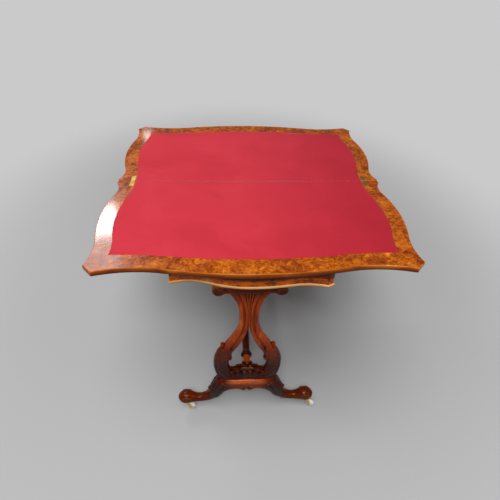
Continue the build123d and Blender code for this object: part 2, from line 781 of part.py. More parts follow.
def leaf_cluster(end):
    """The carved leaves between the feet of the arms, bored for the stretcher."""
    right = places(cluster_lobe_shares, cluster_half_width, cluster_height, foot_top)
    left = [(-x, z) for x, z in reversed(right[:-1])]
    outline = [(base_x + x, z) for x, z in right + left]
    with BuildPart() as cluster:
        with BuildSketch(Plane.XZ.offset(-end * support_plane)):
            with BuildLine():
                for first, middle, last in zip(outline[1:-2:2], outline[2:-1:2], outline[3::2]):
                    ThreePointArc(first, middle, last)
                Line(outline[0], outline[1])
                Line(outline[-1], outline[-2])
                Line(outline[-1], outline[0])
            make_face()
        extrude(amount=cluster_thickness / 2, both=True)
        inner_face = Plane.XZ.offset(-end * (support_plane - cluster_thickness / 2))
        with BuildSketch(inner_face):
            with Locations((base_x, stretcher_height)):
                Circle(tenon_radius + tenon_fit)
        extrude(amount=-end * tenon_length, mode=Mode.SUBTRACT)
    return cluster.part


def foot_outline():
    """Front view of a foot: flat top, falling shoulders, thin necks, scroll toes, arched underside."""
    size = (foot_half_length, foot_top)
    toe_x = foot_half_length - toe_half_length
    flat_end = (foot_flat_share * foot_half_length, foot_top)
    shoulder = places(toe_top_shares, *size)
    under = places(foot_under_shares, *size)
    with BuildSketch() as outline:
        with BuildLine():
            Line((0, foot_top), flat_end)
            Spline(flat_end, *shoulder)
            Line(shoulder[-1], under[0])
            Spline(*under)
            Line(under[-1], place(pendant_shares[0], *size))
            ThreePointArc(*places(pendant_shares, *size))
            mirror(about=Plane.YZ)
        make_face()
        with Locations((toe_x, toe_centre_height), (-toe_x, toe_centre_height)):
            Ellipse(toe_half_length, toe_half_height)
    return outline.sketch.moved(Location((base_x, 0)))


def foot_plan():
    """Plan view of a foot: full at the middle, waisted at the necks, fuller and round at the toes."""
    shoulder = (plan_shoulder_share * foot_half_length, foot_thickness / 2)
    waist = (plan_waist_share * foot_half_length, foot_waist_thickness / 2)
    toe = (foot_half_length - foot_toe_thickness / 2, foot_toe_thickness / 2)
    with BuildSketch() as outline:
        with BuildLine():
            Line((0, foot_thickness / 2), shoulder)
            Spline(shoulder, waist, toe, tangents=[(1, 0), (1, 0)])
            TangentArc(toe, (foot_half_length, 0), tangent=(1, 0))
            mirror(about=Plane.YZ)
            mirror(about=Plane.XZ)
        make_face()
    return outline.sketch.moved(Location((base_x, 0)))


def foot(end):
    """One carved foot, bored from below for its two castor sockets."""
    outline = foot_outline()
    plan = foot_plan()
    with BuildPart() as whole:
        with BuildSketch(Plane.XZ.offset(-end * support_plane)):
            add(outline)
        extrude(amount=foot_thickness, both=True)
        with BuildSketch(Plane.XY):
            with Locations((0, end * support_plane)):
                add(plan)
        extrude(amount=foot_top + overrun, mode=Mode.INTERSECT)
        with BuildSketch(Plane.XY.offset(socket_bottom)):
            with Locations(*[(base_x + hand * castor_place, end * support_plane) for hand in (-1, 1)]):
                Circle(castor_stem_radius + castor_stem_fit + socket_wall)
        extrude(amount=castor_stem_length + socket_plate_thickness, mode=Mode.SUBTRACT)
        with BuildSketch(Plane.XY.offset(socket_bottom)):
            with Locations(*[(base_x + hand * castor_place, end * support_plane) for hand in (-1, 1)]):
                Circle(socket_plate_radius)
        extrude(amount=socket_plate_thickness, mode=Mode.SUBTRACT)
    return whole.part


for end_name, end in ends.items():
    save(bearer(end), f"bearer_{end_name}")
    for side_name, hand in sides.items():
        save(lyre_arm(end, hand), f"lyre_{end_name}_{side_name}_arm")
    save(lyre_wedge(end), f"lyre_{end_name}_wedge")
    save(leaf_cluster(end), f"leaf_cluster_{end_name}")
    save(foot(end), f"foot_{end_name}")

with BuildPart() as bearer_screws:
    for end in ends.values():
        for hand in sides.values():
            x = base_x + hand * bearer_screw_place
            with BuildSketch(Plane.XZ.offset(-end * support_plane)):
                with BuildLine():
                    Polyline((x, bearer_bottom), (x + bearer_screw_head_radius, bearer_bottom),
                             (x + bearer_screw_head_radius, bearer_bottom + bearer_screw_head_height),
                             (x + bearer_screw_radius, bearer_bottom + bearer_screw_head_height),
                             (x + bearer_screw_radius, frieze_bottom), (x, frieze_bottom), close=True)
                make_face()
            revolve(axis=Axis((x, end * support_plane, 0), (0, 0, 1)))
save(bearer_screws.part, "bearer_screws")

# Turned stretcher between the supports

stretcher_half = support_plane - cluster_thickness / 2

with BuildPart() as stretcher:
    with BuildSketch(Plane.YZ.offset(base_x)):
        with BuildLine():
            profile = [(stretcher_half * (1 - along), stretcher_height + stretcher_radius * out)
                       for along, out in stretcher_shares]
            tenon_end = stretcher_half + tenon_length - seat_clearance
            Polyline((0, stretcher_height), (tenon_end, stretcher_height),
                     (tenon_end, stretcher_height + tenon_radius), (stretcher_half, stretcher_height + tenon_radius),
                     *profile, close=True)
        make_face()
        mirror(about=Plane.YZ)
    revolve(axis=Axis((base_x, 0, stretcher_height), (0, 1, 0)))
save(stretcher.part, "stretcher")

# Castors

stems = {f"{end_name}_{side_name}": (base_x + hand * castor_place, end * support_plane)
         for end_name, end in ends.items() for side_name, hand in sides.items()}

with BuildPart() as castor_sockets:
    for x, y in stems.values():
        with BuildSketch(Plane.XY.offset(socket_bottom)):
            with Locations((x, y)):
                Circle(socket_plate_radius)
                Circle(castor_stem_radius + castor_stem_fit, mode=Mode.SUBTRACT)
        extrude(amount=socket_plate_thickness)
        with BuildSketch(Plane.XY.offset(socket_bottom)):
            with Locations((x, y)):
                Circle(castor_stem_radius + castor_stem_fit + socket_wall)
                Circle(castor_stem_radius + castor_stem_fit, mode=Mode.SUBTRACT)
        extrude(amount=castor_stem_length + socket_plate_thickness)
save(castor_sockets.part, "castor_sockets")


def castor_planes(name):
    """The floor plane and the upright plane of one castor, turned to its heading."""
    x, y = stems[name]
    heading = radians(castor_headings[name])
    along = (cos(heading), sin(heading), 0)
    across = (sin(heading), -cos(heading), 0)
    floor = Plane(origin=(x, y, 0), x_dir=along, z_dir=(0, 0, 1))
    upright = Plane(origin=(x, y, 0), x_dir=along, z_dir=across)
    return floor, upright


def castor_horn(name):
    """Brass horn: crown, stem and two cheeks that carry the axle."""
    floor, upright = castor_planes(name)
    cheek_inner = castor_wheel_width / 2 + castor_side_gap
    with BuildPart() as horn:
        with BuildSketch(floor.offset(crown_bottom)):
            Circle(castor_crown_radius)
            with Locations((castor_trail / 4, 0)):
                Rectangle(castor_trail / 2, 2 * (cheek_inner + castor_cheek))
        extrude(amount=castor_crown)
        with BuildSketch(floor.offset(crown_top)):
            Circle(castor_stem_radius)
        extrude(amount=castor_stem_length)
        for hand in (-1, 1):
            with BuildSketch(upright.offset(hand * cheek_inner)):
                with BuildLine():
                    Polyline((0, crown_top), (castor_trail / 2, crown_top),
                             (castor_trail + 2 * castor_axle_radius, castor_wheel_radius),
                             (castor_trail - 2 * castor_axle_radius, castor_wheel_radius),
                             (0, crown_bottom), close=True)
                make_face()
                with Locations((castor_trail, castor_wheel_radius)):
                    Circle(2 * castor_axle_radius)
                    Circle(castor_axle_radius, mode=Mode.SUBTRACT)
            extrude(amount=hand * castor_cheek)
    return horn.part


def castor_axle(name):
    """Axle pin through both cheeks."""
    floor, upright = castor_planes(name)
    half = castor_wheel_width / 2 + castor_side_gap + castor_cheek
    with BuildPart() as axle:
        with BuildSketch(upright):
            with Locations((castor_trail, castor_wheel_radius)):
                Circle(castor_axle_radius)
        extrude(amount=half, both=True)
    return axle.part


def castor_wheel(name):
    """China wheel with rounded rim, bored for the axle."""
    floor, upright = castor_planes(name)
    with BuildPart() as wheel:
        with BuildSketch(upright):
            with Locations((castor_trail, castor_wheel_radius)):
                Circle(castor_wheel_radius)
        extrude(amount=castor_wheel_width / 2, both=True)
        fillet(wheel.edges().filter_by(GeomType.CIRCLE), radius=castor_wheel_round)
        with BuildSketch(upright):
            with Locations((castor_trail, castor_wheel_radius)):
                Circle(castor_axle_radius + castor_axle_fit)
        extrude(amount=castor_wheel_width, both=True, mode=Mode.SUBTRACT)
    return wheel.part


for castor_name in stems:
    save(castor_horn(castor_name), f"castor_horn_{castor_name}")
    save(castor_axle(castor_name), f"castor_axle_{castor_name}")
    save(castor_wheel(castor_name), f"castor_wheel_{castor_name}")
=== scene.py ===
from math import atan2, ceil, cos, exp, hypot, pi, radians, sin, sqrt

import bmesh
import bpy
from mathutils import Matrix, Vector, noise


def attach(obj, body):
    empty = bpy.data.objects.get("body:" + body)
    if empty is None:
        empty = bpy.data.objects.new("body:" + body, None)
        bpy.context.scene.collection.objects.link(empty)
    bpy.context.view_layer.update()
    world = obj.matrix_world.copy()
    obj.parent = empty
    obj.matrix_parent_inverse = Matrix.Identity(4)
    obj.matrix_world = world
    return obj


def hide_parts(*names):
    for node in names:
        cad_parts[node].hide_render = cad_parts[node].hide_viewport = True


# Looks of the serpentine card table. Shapes are worked out in millimetres in the CAD's own frame
# and turned to metres when a mesh is made. Every object sits at the origin, so a material that reads
# object coordinates has the same grain on all pieces and keeps it when a leaf or castor moves.

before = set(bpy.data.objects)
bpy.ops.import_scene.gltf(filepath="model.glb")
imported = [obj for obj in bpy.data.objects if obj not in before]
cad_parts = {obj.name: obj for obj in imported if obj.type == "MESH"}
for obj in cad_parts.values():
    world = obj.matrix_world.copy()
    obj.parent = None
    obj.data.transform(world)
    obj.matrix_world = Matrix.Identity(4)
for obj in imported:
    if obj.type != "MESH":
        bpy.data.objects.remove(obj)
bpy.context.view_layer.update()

MM = 0.001
BASE_X = -16.0                # the base's middle, behind the open top's middle
SUPPORT_Y = 420.0             # from the middle to a lyre's own plane
FRIEZE_BOTTOM = 659.7
FLOOR_SIZE = 60.0             # metres
ARC_STEPS = 14                # in each arc of a serpentine edge


# Numbers and curves

def srgb(r, g, b):
    """A colour written as it looks, turned into the linear values that a shader takes."""
    def linear(value):
        share = value / 255
        return share / 12.92 if share <= 0.04045 else ((share + 0.055) / 1.055) ** 2.4
    return (linear(r), linear(g), linear(b), 1.0)


def lerp(a, b, t):
    return a + (b - a) * t


def clamp(value, low=0.0, high=1.0):
    return max(low, min(high, value))


def smooth(t, low=0.0, high=1.0):
    """0 below low, 1 above high, and an even turn between them."""
    t = clamp((t - low) / (high - low))
    return t * t * (3 - 2 * t)


def hump(t, centre, width):
    """A soft bump of height 1."""
    return exp(-((t - centre) / width) ** 2)


def spline_row(rows, steps):
    """Rows of numbers joined by a smooth curve, given as steps + 1 rows."""
    last = len(rows) - 1
    result = []
    for step in range(steps + 1):
        place = step / steps * last
        index = min(int(place), last - 1)
        t = place - index
        p0 = rows[max(index - 1, 0)]
        p1 = rows[index]
        p2 = rows[index + 1]
        p3 = rows[min(index + 2, last)]
        row = []
        for a, b, c, d in zip(p0, p1, p2, p3):
            row.append(0.5 * (2 * b + (c - a) * t + (2 * a - 5 * b + 4 * c - d) * t * t
                              + (3 * b - a - 3 * c + d) * t ** 3))
        result.append(row)
    return result


def arc_from(start, end, heading, steps):
    """Points of the arc that leaves start along heading and ends at end, and the heading there."""
    hx, hy = Vector(heading).normalized()
    dx, dy = end[0] - start[0], end[1] - start[1]
    across = hx * dy - hy * dx
    if abs(across) < 1e-9:
        points = [(lerp(start[0], end[0], i / steps), lerp(start[1], end[1], i / steps))
                  for i in range(steps + 1)]
        return points, (hx, hy)
    radius = (dx * dx + dy * dy) / (2 * across)
    cx, cy = start[0] - hy * radius, start[1] + hx * radius
    first = atan2(start[1] - cy, start[0] - cx)
    turn = atan2(end[1] - cy, end[0] - cx) - first
    if radius > 0 and turn < 0:
        turn += 2 * pi
    if radius < 0 and turn > 0:
        turn -= 2 * pi
    size = abs(radius)
    points = [(cx + size * cos(first + turn * i / steps), cy + size * sin(first + turn * i / steps))
              for i in range(steps + 1)]
    c, s = cos(turn), sin(turn)
    return points, (hx * c - hy * s, hx * s + hy * c)


def serpentine(start, turn, tip, heading):
    """Two arcs of a serpentine edge."""
    first, bend = arc_from(start, turn, heading, ARC_STEPS)
    second, _ = arc_from(turn, tip, bend, ARC_STEPS)
    return first + second[1:]


def around(count):
    """Cosine and sine at even steps round a circle."""
    return [(cos(2 * pi * j / count), sin(2 * pi * j / count)) for j in range(count)]


def signed_power(value, power):
    """A power of a number's size, with the number's own sign."""
    return abs(value) ** power * (1 if value >= 0 else -1)


def spiral(start, turns, outer, inner, steps, power=1.0):
    """Offsets from the eye of a spiral that winds inwards from an angle in degrees."""
    offsets = []
    for i in range(steps + 1):
        t = i / steps
        angle = radians(start) + turns * 2 * pi * t
        size = lerp(outer, inner, t ** power)
        offsets.append((size * cos(angle), size * sin(angle)))
    return offsets


def flat_course(path, i):
    """Heading of a path in a plane at its point number i."""
    before, after = path[max(i - 1, 0)], path[min(i + 1, len(path) - 1)]
    return Vector((after[0] - before[0], after[1] - before[1])).normalized()


def course(path, i):
    """Heading of a path of vectors at its point number i."""
    return (path[min(i + 1, len(path) - 1)] - path[max(i - 1, 0)]).normalized()


def circle(middle, side, other, radius, steps):
    return [tuple(middle + side * radius * c + other * radius * s) for c, s in around(steps)]


# Meshes

def new_object(name, data):
    """An object in the scene for a mesh, lamp or camera."""
    obj = bpy.data.objects.new(name, data)
    bpy.context.scene.collection.objects.link(obj)
    return obj


def shade_smooth(mesh):
    for polygon in mesh.polygons:
        polygon.use_smooth = True


class Shape:
    """Points and faces of a piece, in millimetres."""

    def __init__(self, points=(), faces=()):
        self.points = list(points)
        self.faces = list(faces)

    def skin(self, rings, loop=False):
        """Join rings of equally many points, and give the number of each ring's first point."""
        base, count = len(self.points), len(rings[0])
        for ring in rings:
            self.points.extend(ring)
        firsts = [base + i * count for i in range(len(rings))]
        for a, b in zip(firsts, firsts[1:] + (firsts[:1] if loop else [])):
            for j in range(count):
                k = (j + 1) % count
                self.faces.append((a + j, a + k, b + k, b + j))
        return firsts

    def rings(self, rings):
        """Join closed rings, and close both ends with a fan."""
        firsts = self.skin(rings)
        count = len(rings[0])
        for first, ring in ((firsts[0], rings[0]), (firsts[-1], rings[-1])):
            self.points.append(tuple(sum(p[axis] for p in ring) / count for axis in range(3)))
            tip = len(self.points) - 1
            for j in range(count):
                self.faces.append((first + j, first + (j + 1) % count, tip))

    def lathe(self, profile, centre, axis, steps):
        """Turn (distance along, radius) pairs round an axis through centre."""
        axis = Vector(axis).normalized()
        side = axis.orthogonal().normalized()
        other = axis.cross(side)
        self.rings([circle(Vector(centre) + axis * along, side, other, radius, steps)
                    for along, radius in profile])

    def tube(self, path, first, last, steps=10):
        """A round rod along a path of points, from a first radius to a last one."""
        path = [Vector(point) for point in path]
        rings = []
        side = course(path, 0).orthogonal().normalized()
        for i, point in enumerate(path):
            along = course(path, i)
            side = (side - along * side.dot(along)).normalized()
            radius = lerp(first, last, i / (len(path) - 1))
            rings.append(circle(point, side, along.cross(side), radius, steps))
        self.rings(rings)

    def ball(self, centre, radii, steps):
        """A rounded boss with its own half sizes along x, y and z."""
        rings = []
        for i in range(1, steps):
            tilt = pi * i / steps
            rings.append([(centre[0] + radii[0] * sin(tilt) * c, centre[1] + radii[1] * cos(tilt),
                           centre[2] + radii[2] * sin(tilt) * s) for c, s in around(2 * steps)])
        self.rings(rings)

    def leaf(self, path, widths, up, thick, drop, lobes, steps=36):
        """A carved leaf lying along a path: a midrib, veins and lobed edges, cupped by drop."""
        rows = spline_row([(*p, w) for p, w in zip(path, widths)], steps)
        centres = [Vector(row[:3]) for row in rows]
        up = Vector(up).normalized()
        rings = []
        for i, centre in enumerate(centres):
            along = course(centres, i)
            lift = (up - along * up.dot(along)).normalized()
            side = along.cross(lift)
            t = i / steps
            width = max(rows[i][3] * (0.86 + 0.18 * abs(sin(pi * lobes * t)) ** 0.6), 0.15)
            fade = clamp(width / 4)
            ring = []
            for s, rise in around(28):
                height = thick * fade * sqrt(max(1 - s * s, 0.0)) * (0.75 if rise < 0 else 1.0)
                if rise > 0:
                    height *= 1 - 0.4 * hump(abs(s), 0.16, 0.09)
                    height *= 1 - 0.28 * abs(sin(pi * (lobes * t - 1.3 * abs(s)))) ** 3
                else:
                    height = -height
                ring.append(tuple(centre + side * width * s + lift * (height - drop * s * s * fade)))
            rings.append(ring)
        self.rings(rings)

    def plate(self, outline, low, high, bevel=0.0):
        """An outline in the lyre's plane, thick from low to high along y, with rounded edges."""
        layers = [(low, 0.0), (high, 0.0)]
        if bevel:
            turns = [pi / 2 * i / 4 for i in range(5)]
            edge = [(low + bevel * (1 - sin(turn)), bevel * (1 - cos(turn))) for turn in turns]
            layers = sorted(edge) + sorted((high - (level - low), amount) for level, amount in edge)
        firsts = self.skin([[(a, level, b) for a, b in inset(outline, amount)] for level, amount in layers])
        count = len(outline)
        self.faces.append(tuple(firsts[0] + j for j in range(count)))
        self.faces.append(tuple(firsts[-1] + j for j in reversed(range(count))))

    def mapped(self, rule, mirror=False):
        """A copy with every point put through a rule. A mirror image has its faces turned over."""
        faces = [tuple(reversed(face)) for face in self.faces] if mirror else self.faces
        return Shape([rule(*point) for point in self.points], faces)

    def moved(self, x, y):
        return self.mapped(lambda a, b, c: (a + x, b + y, c))

    def mirrored(self):
        return self.mapped(lambda x, y, z: (-x, y, z), mirror=True)

    def turned(self, place, heading):
        """Turned about the upright axis and set down at place."""
        c, s = cos(heading), sin(heading)
        return self.mapped(lambda x, y, z: (place[0] + x * c - y * s, place[1] + x * s + y * c, z))

    def join(self, *others):
        for other in others:
            base = len(self.points)
            self.points.extend(other.points)
            self.faces.extend(tuple(i + base for i in face) for face in other.faces)

    def build(self, name, material, body, slot, replaces, crease=None):
        """Make the object, in metres, riding on a body and standing for CAD nodes."""
        mesh = bpy.data.meshes.new(name)
        mesh.from_pydata([(x * MM, y * MM, z * MM) for x, y, z in self.points], [], self.faces)
        work = bmesh.new()
        work.from_mesh(mesh)
        bmesh.ops.remove_doubles(work, verts=work.verts, dist=1e-6)
        bmesh.ops.recalc_face_normals(work, faces=work.faces)
        work.to_mesh(mesh)
        work.free()
        obj = new_object(name, mesh)
        shade_smooth(mesh)
        if crease:
            mesh.set_sharp_from_angle(angle=radians(crease))
        mesh.materials.append(material)
        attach(obj, body)
        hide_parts(*replaces)


def inset(outline, amount):
    """An outline moved inwards by an amount, point by point."""
    if not amount:
        return list(outline)
    area = sum(a[0] * b[1] - b[0] * a[1] for a, b in zip(outline, outline[1:] + outline[:1]))
    sign = 1 if area > 0 else -1
    result = []
    count = len(outline)
    for i in range(count):
        before = Vector(outline[i - 1])
        here = Vector(outline[i])
        after = Vector(outline[(i + 1) % count])
        d1 = (here - before).normalized()
        d2 = (after - here).normalized()
        n1 = Vector((-d1.y, d1.x)) * sign
        n2 = Vector((-d2.y, d2.x)) * sign
        mid = (n1 + n2).normalized()
        reach = amount / max(mid.dot(n1), 0.5)
        result.append(tuple(here + mid * reach))
    return result


# Materials

class Paint:
    """A procedural material, built from a few kinds of nodes."""

    def __init__(self, name):
        self.material = bpy.data.materials.new(name)
        self.material.use_nodes = True
        self.tree = self.material.node_tree
        self.bsdf = self.tree.nodes["Principled BSDF"]
        self.place = self.node("ShaderNodeTexCoord").outputs["Object"]

    def node(self, kind, values=None, **settings):
        """A node with its settings, and plain values or links for its sockets."""
        made = self.tree.nodes.new(kind)
        for key, value in settings.items():
            setattr(made, key, value)
        for key, value in (values or {}).items():
            self.link(value, made.inputs[key])
        return made

    def link(self, value, socket):
        if isinstance(value, bpy.types.NodeSocket):
            self.tree.links.new(value, socket)
        else:
            socket.default_value = value

    def set(self, **values):
        """Plain values on the shader's own sockets, given with _ for a space."""
        for key, value in values.items():
            self.bsdf.inputs[key.replace("_", " ")].default_value = value

    def axis(self, name):
        """How far along one axis a point lies, in metres."""
        return self.node("ShaderNodeSeparateXYZ", {"Vector": self.place}).outputs[name]

    def stretch(self, scale, vector=None):
        values = {"Vector": vector or self.place, "Scale": scale}
        return self.node("ShaderNodeMapping", values).outputs["Vector"]

    def noise(self, scale, detail=4.0, rough=0.55, distort=0.0, vector=None, out="Fac"):
        values = {"Vector": vector or self.place, "Scale": scale, "Detail": detail,
                  "Roughness": rough, "Distortion": distort}
        return self.node("ShaderNodeTexNoise", values).outputs[out]

    def cells(self, scale, vector=None, feature="F1"):
        values = {"Vector": vector or self.place, "Scale": scale}
        return self.node("ShaderNodeTexVoronoi", values, feature=feature).outputs["Distance"]

    def bands(self, scale, distort, vector=None, direction="X", detail=3.0):
        values = {"Vector": vector or self.place, "Scale": scale, "Distortion": distort, "Detail": detail}
        return self.node("ShaderNodeTexWave", values, bands_direction=direction).outputs["Fac"]

    def warp(self, scale, amount, vector=None):
        """The place, pushed about by a noise."""
        vector = vector or self.place
        push = self.noise(scale, 3.0, 0.5, vector=vector, out="Color")
        even = self.node("ShaderNodeVectorMath", {0: push, 1: (0.5, 0.5, 0.5)}, operation="SUBTRACT")
        size = self.node("ShaderNodeVectorMath", {0: even.outputs[0], "Scale": amount}, operation="SCALE")
        moved = self.node("ShaderNodeVectorMath", {0: vector, 1: size.outputs[0]}, operation="ADD")
        return moved.outputs[0]

    def maths(self, operation, a, b=0.0):
        return self.node("ShaderNodeMath", {0: a, 1: b}, operation=operation).outputs[0]

    def weigh(self, first, *others):
        """A sum of values, each given with its own weight."""
        result = self.maths("MULTIPLY", *first)
        for value, weight in others:
            result = self.maths("ADD", result, self.maths("MULTIPLY", value, weight))
        return result

    def ramp(self, value, stops, ease="EASE"):
        """Grey levels, or colours written as they look, set out along a value."""
        made = self.node("ShaderNodeValToRGB", {"Fac": value})
        made.color_ramp.interpolation = ease
        elements = made.color_ramp.elements
        while len(elements) < len(stops):
            elements.new(0.5)
        for element, (place, shade) in zip(elements, stops):
            element.position = place
            element.color = srgb(*shade) if hasattr(shade, "__len__") else (shade, shade, shade, 1.0)
        return made.outputs["Color"]

    def blend(self, share, a, b, mode="MIX"):
        values = {"Factor": share, "A": a, "B": b}
        return self.node("ShaderNodeMix", values, data_type="RGBA", blend_type=mode).outputs["Result"]

    def shaded(self, colour, distance, painted_light):
        """A colour times painted light and shade set out along a distance, either way from nothing."""
        tint = self.ramp(self.maths("ABSOLUTE", distance), painted_light, "LINEAR")
        return self.blend(1.0, colour, tint, "MULTIPLY")

    def bump(self, height, strength, distance):
        normal = self.bsdf.inputs["Normal"]
        made = self.node("ShaderNodeBump", {"Strength": strength, "Distance": distance, "Height": height})
        if normal.is_linked:
            self.link(normal.links[0].from_socket, made.inputs["Normal"])
        self.link(made.outputs["Normal"], normal)

    def recess(self, distance=0.02):
        """1 in the open and 0 deep in the carving."""
        made = self.node("ShaderNodeAmbientOcclusion", {"Distance": distance}, samples=8, only_local=True)
        return self.ramp(made.outputs["AO"], [(0.3, 0.0), (0.92, 1.0)])

    def edges(self):
        """1 on sharp edges, where polish wears through."""
        pointed = self.node("ShaderNodeNewGeometry").outputs["Pointiness"]
        return self.ramp(pointed, [(0.53, 0.0), (0.62, 1.0)])

    def colour(self, value):
        self.link(value, self.bsdf.inputs["Base Color"])

    def rough(self, value):
        self.link(value, self.bsdf.inputs["Roughness"])


def wood(name, dark, middle, light, grain, figure=6.0, stretch=14.0, gloss=0.28, coat=0.5,
         recess=None, wear=None, lines=0.16, pore=0.35, painted_light=None, painted_light_axis="Z",
         speckle=0.0, length_painted_light=None):
    """Polished wood: grain stretched along one axis, slow figure, fine pores and a clear polish."""
    paint = Paint(name)
    scale = [stretch, stretch, stretch]
    scale[grain] = stretch / 14
    along = paint.stretch(scale, vector=paint.warp(7.0, 0.02))
    fine = paint.noise(5.0, 6.0, 0.62, 0.6, vector=along)
    slow = paint.noise(figure, 3.0, 0.5, 1.2)
    streak = paint.bands(1.6, 7.0, vector=along, direction="XYZ"[(grain + 1) % 3], detail=2.0)
    mixed = [(fine, 0.5), (slow, 0.46 - lines / 2), (streak, lines)]
    if speckle:
        mottle = paint.noise(110.0, 5.0, 0.65, 0.8)
        mixed.append((paint.maths("SUBTRACT", mottle, 0.5), speckle))
    colour = paint.ramp(paint.weigh(*mixed), [(0.32, dark), (0.5, middle), (0.68, light)])
    pore_scale = [900.0, 900.0, 900.0]
    pore_scale[grain] = 60.0
    pores = paint.noise(1.0, 2.0, 0.5, vector=paint.stretch(pore_scale))
    pore_mask = paint.ramp(pores, [(0.3, 0.0), (0.44, 1.0)])
    colour = paint.blend(pore_mask, paint.blend(pore, colour, srgb(*dark)), colour)
    # painted light and shade along one axis, by height unless another is given
    if painted_light:
        colour = paint.shaded(colour, paint.axis(painted_light_axis), painted_light)
    # painted light and shade along x, by distance from the base's middle
    if length_painted_light:
        from_middle = paint.maths("SUBTRACT", paint.axis("X"), BASE_X * MM)
        colour = paint.shaded(colour, from_middle, length_painted_light)
    # painted shade: darker deep in the carving
    if recess:
        colour = paint.blend(paint.recess(), srgb(*recess), colour)
    if wear:
        colour = paint.blend(paint.maths("MULTIPLY", paint.edges(), 0.3), colour, srgb(*wear))
    paint.colour(colour)
    smear = paint.noise(22.0, 4.0, 0.6)
    paint.rough(paint.ramp(smear, [(0.3, gloss * 0.8), (0.7, gloss * 1.35)]))
    paint.bump(pore_mask, 0.1, 0.0002)
    paint.bump(fine, 0.06, 0.0006)
    paint.set(Coat_Weight=coat, Coat_Roughness=0.1, Coat_IOR=1.4, Specular_IOR_Level=0.05)
    return paint.material


def burr(name, dark, middle, light, gold):
    """Burr veneer: swirling figure, small eyes and a high polish."""
    paint = Paint(name)
    swirl = paint.warp(60.0, 0.014, vector=paint.warp(13.0, 0.04))
    cloud = paint.noise(75.0, 6.0, 0.68, 0.7, vector=swirl)
    broad = paint.noise(16.0, 3.0, 0.55, 0.5, vector=swirl)
    curl_lines = paint.noise(1.0, 4.0, 0.6, 1.2, vector=paint.stretch((60.0, 190.0, 60.0), vector=swirl))
    eyes = paint.cells(150.0, vector=swirl)
    eye_mask = paint.ramp(eyes, [(0.08, 0.0), (0.3, 1.0)])
    mixed = paint.weigh((cloud, 0.48), (broad, 0.28), (curl_lines, 0.24))
    colour = paint.ramp(mixed, [(0.36, dark), (0.46, middle), (0.55, light), (0.64, gold)])
    where = paint.ramp(paint.noise(17.0, 2.0, 0.5), [(0.44, 0.0), (0.6, 1.0)])
    spots = paint.maths("MULTIPLY", paint.maths("SUBTRACT", 1.0, eye_mask), where)
    paint.colour(paint.blend(paint.maths("MULTIPLY", spots, 0.6), colour, srgb(*dark)))
    paint.rough(paint.ramp(cloud, [(0.35, 0.2), (0.65, 0.4)]))
    paint.bump(cloud, 0.05, 0.0004)
    paint.bump(paint.noise(11.0, 3.0, 0.5), 0.3, 0.0012)
    paint.set(Coat_Weight=0.6, Coat_Roughness=0.1, Coat_IOR=1.45, Specular_IOR_Level=0.3)
    return paint.material


# metres along x over which painted shade darkens the baize towards its right side
PAINTED_SHADE_SPAN = (-0.05, 0.42)
PAINTED_SHADE_TINT = (222, 172, 196)


def cloth(name, shade, deep, pale):
    """Baize: a felted wool cloth, its weave just felt under a short nap."""
    paint = Paint(name)
    slow = paint.noise(5.0, 3.0, 0.55, 0.4)
    nap = paint.noise(900.0, 3.0, 0.7)
    clump = paint.noise(150.0, 4.0, 0.65)
    colour = paint.ramp(slow, [(0.35, deep), (0.52, shade), (0.7, pale)])
    fleck = paint.weigh((nap, 0.5), (clump, 0.5))
    colour = paint.blend(paint.ramp(fleck, [(0.42, 0.0), (0.62, 0.35)]), colour, srgb(*deep))
    # painted shade: the baize darker towards its right side, away from the light
    span = {"Value": paint.axis("X"), "From Min": PAINTED_SHADE_SPAN[0], "From Max": PAINTED_SHADE_SPAN[1]}
    fade = paint.node("ShaderNodeMapRange", span)
    shaded_colour = paint.blend(1.0, colour, srgb(*PAINTED_SHADE_TINT), "MULTIPLY")
    paint.colour(paint.blend(fade.outputs["Result"], colour, shaded_colour))
    warp_lines = paint.bands(420.0, 1.5, direction="X", detail=1.0)
    weft_lines = paint.bands(420.0, 1.5, direction="Y", detail=1.0)
    weave = paint.maths("MULTIPLY", warp_lines, weft_lines)
    paint.rough(paint.ramp(clump, [(0.3, 0.88), (0.7, 1.0)]))
    paint.bump(weave, 0.12, 0.0003)
    paint.bump(fleck, 0.35, 0.0004)
    paint.set(Sheen_Weight=0.25, Sheen_Roughness=0.45, Sheen_Tint=(0.9, 0.45, 0.5, 1.0),
              Specular_IOR_Level=0.15)
    return paint.material


def metal(name, shade, dull, roughness, scratch=0.25):
    """Old metal: tarnish in patches, fine scratches, bright where it is rubbed."""
    paint = Paint(name)
    patch = paint.noise(60.0, 5.0, 0.65)
    tarnish = paint.ramp(patch, [(0.4, 0.0), (0.66, 1.0)])
    colour = paint.blend(tarnish, srgb(*shade), srgb(*dull))
    paint.colour(paint.blend(paint.recess(0.004), srgb(*dull), colour))
    lines = paint.noise(1.0, 2.0, 0.5, vector=paint.stretch((1500.0, 120.0, 700.0)))
    worn = paint.weigh((patch, 0.6), (lines, 0.4))
    paint.rough(paint.ramp(worn, [(0.3, roughness * 0.7), (0.7, roughness * 1.6)]))
    paint.bump(lines, scratch, 0.0001)
    paint.set(Metallic=1.0)
    return paint.material


def china(name, shade, stain):
    """Glazed white china, faintly crazed, with grime where it rolls."""
    paint = Paint(name)
    craze = paint.cells(260.0, feature="DISTANCE_TO_EDGE")
    cracks = paint.ramp(craze, [(0.0, 1.0), (0.03, 0.0)])
    grime = paint.ramp(paint.noise(70.0, 4.0, 0.6), [(0.5, 0.0), (0.75, 0.5)])
    colour = paint.blend(grime, srgb(*shade), srgb(*stain))
    paint.colour(paint.blend(paint.maths("MULTIPLY", cracks, 0.3), colour, srgb(*stain)))
    paint.rough(paint.ramp(paint.noise(90.0, 3.0, 0.5), [(0.3, 0.12), (0.7, 0.28)]))
    paint.bump(cracks, 0.1, 0.0001)
    paint.set(Coat_Weight=0.4, Coat_Roughness=0.08)
    return paint.material
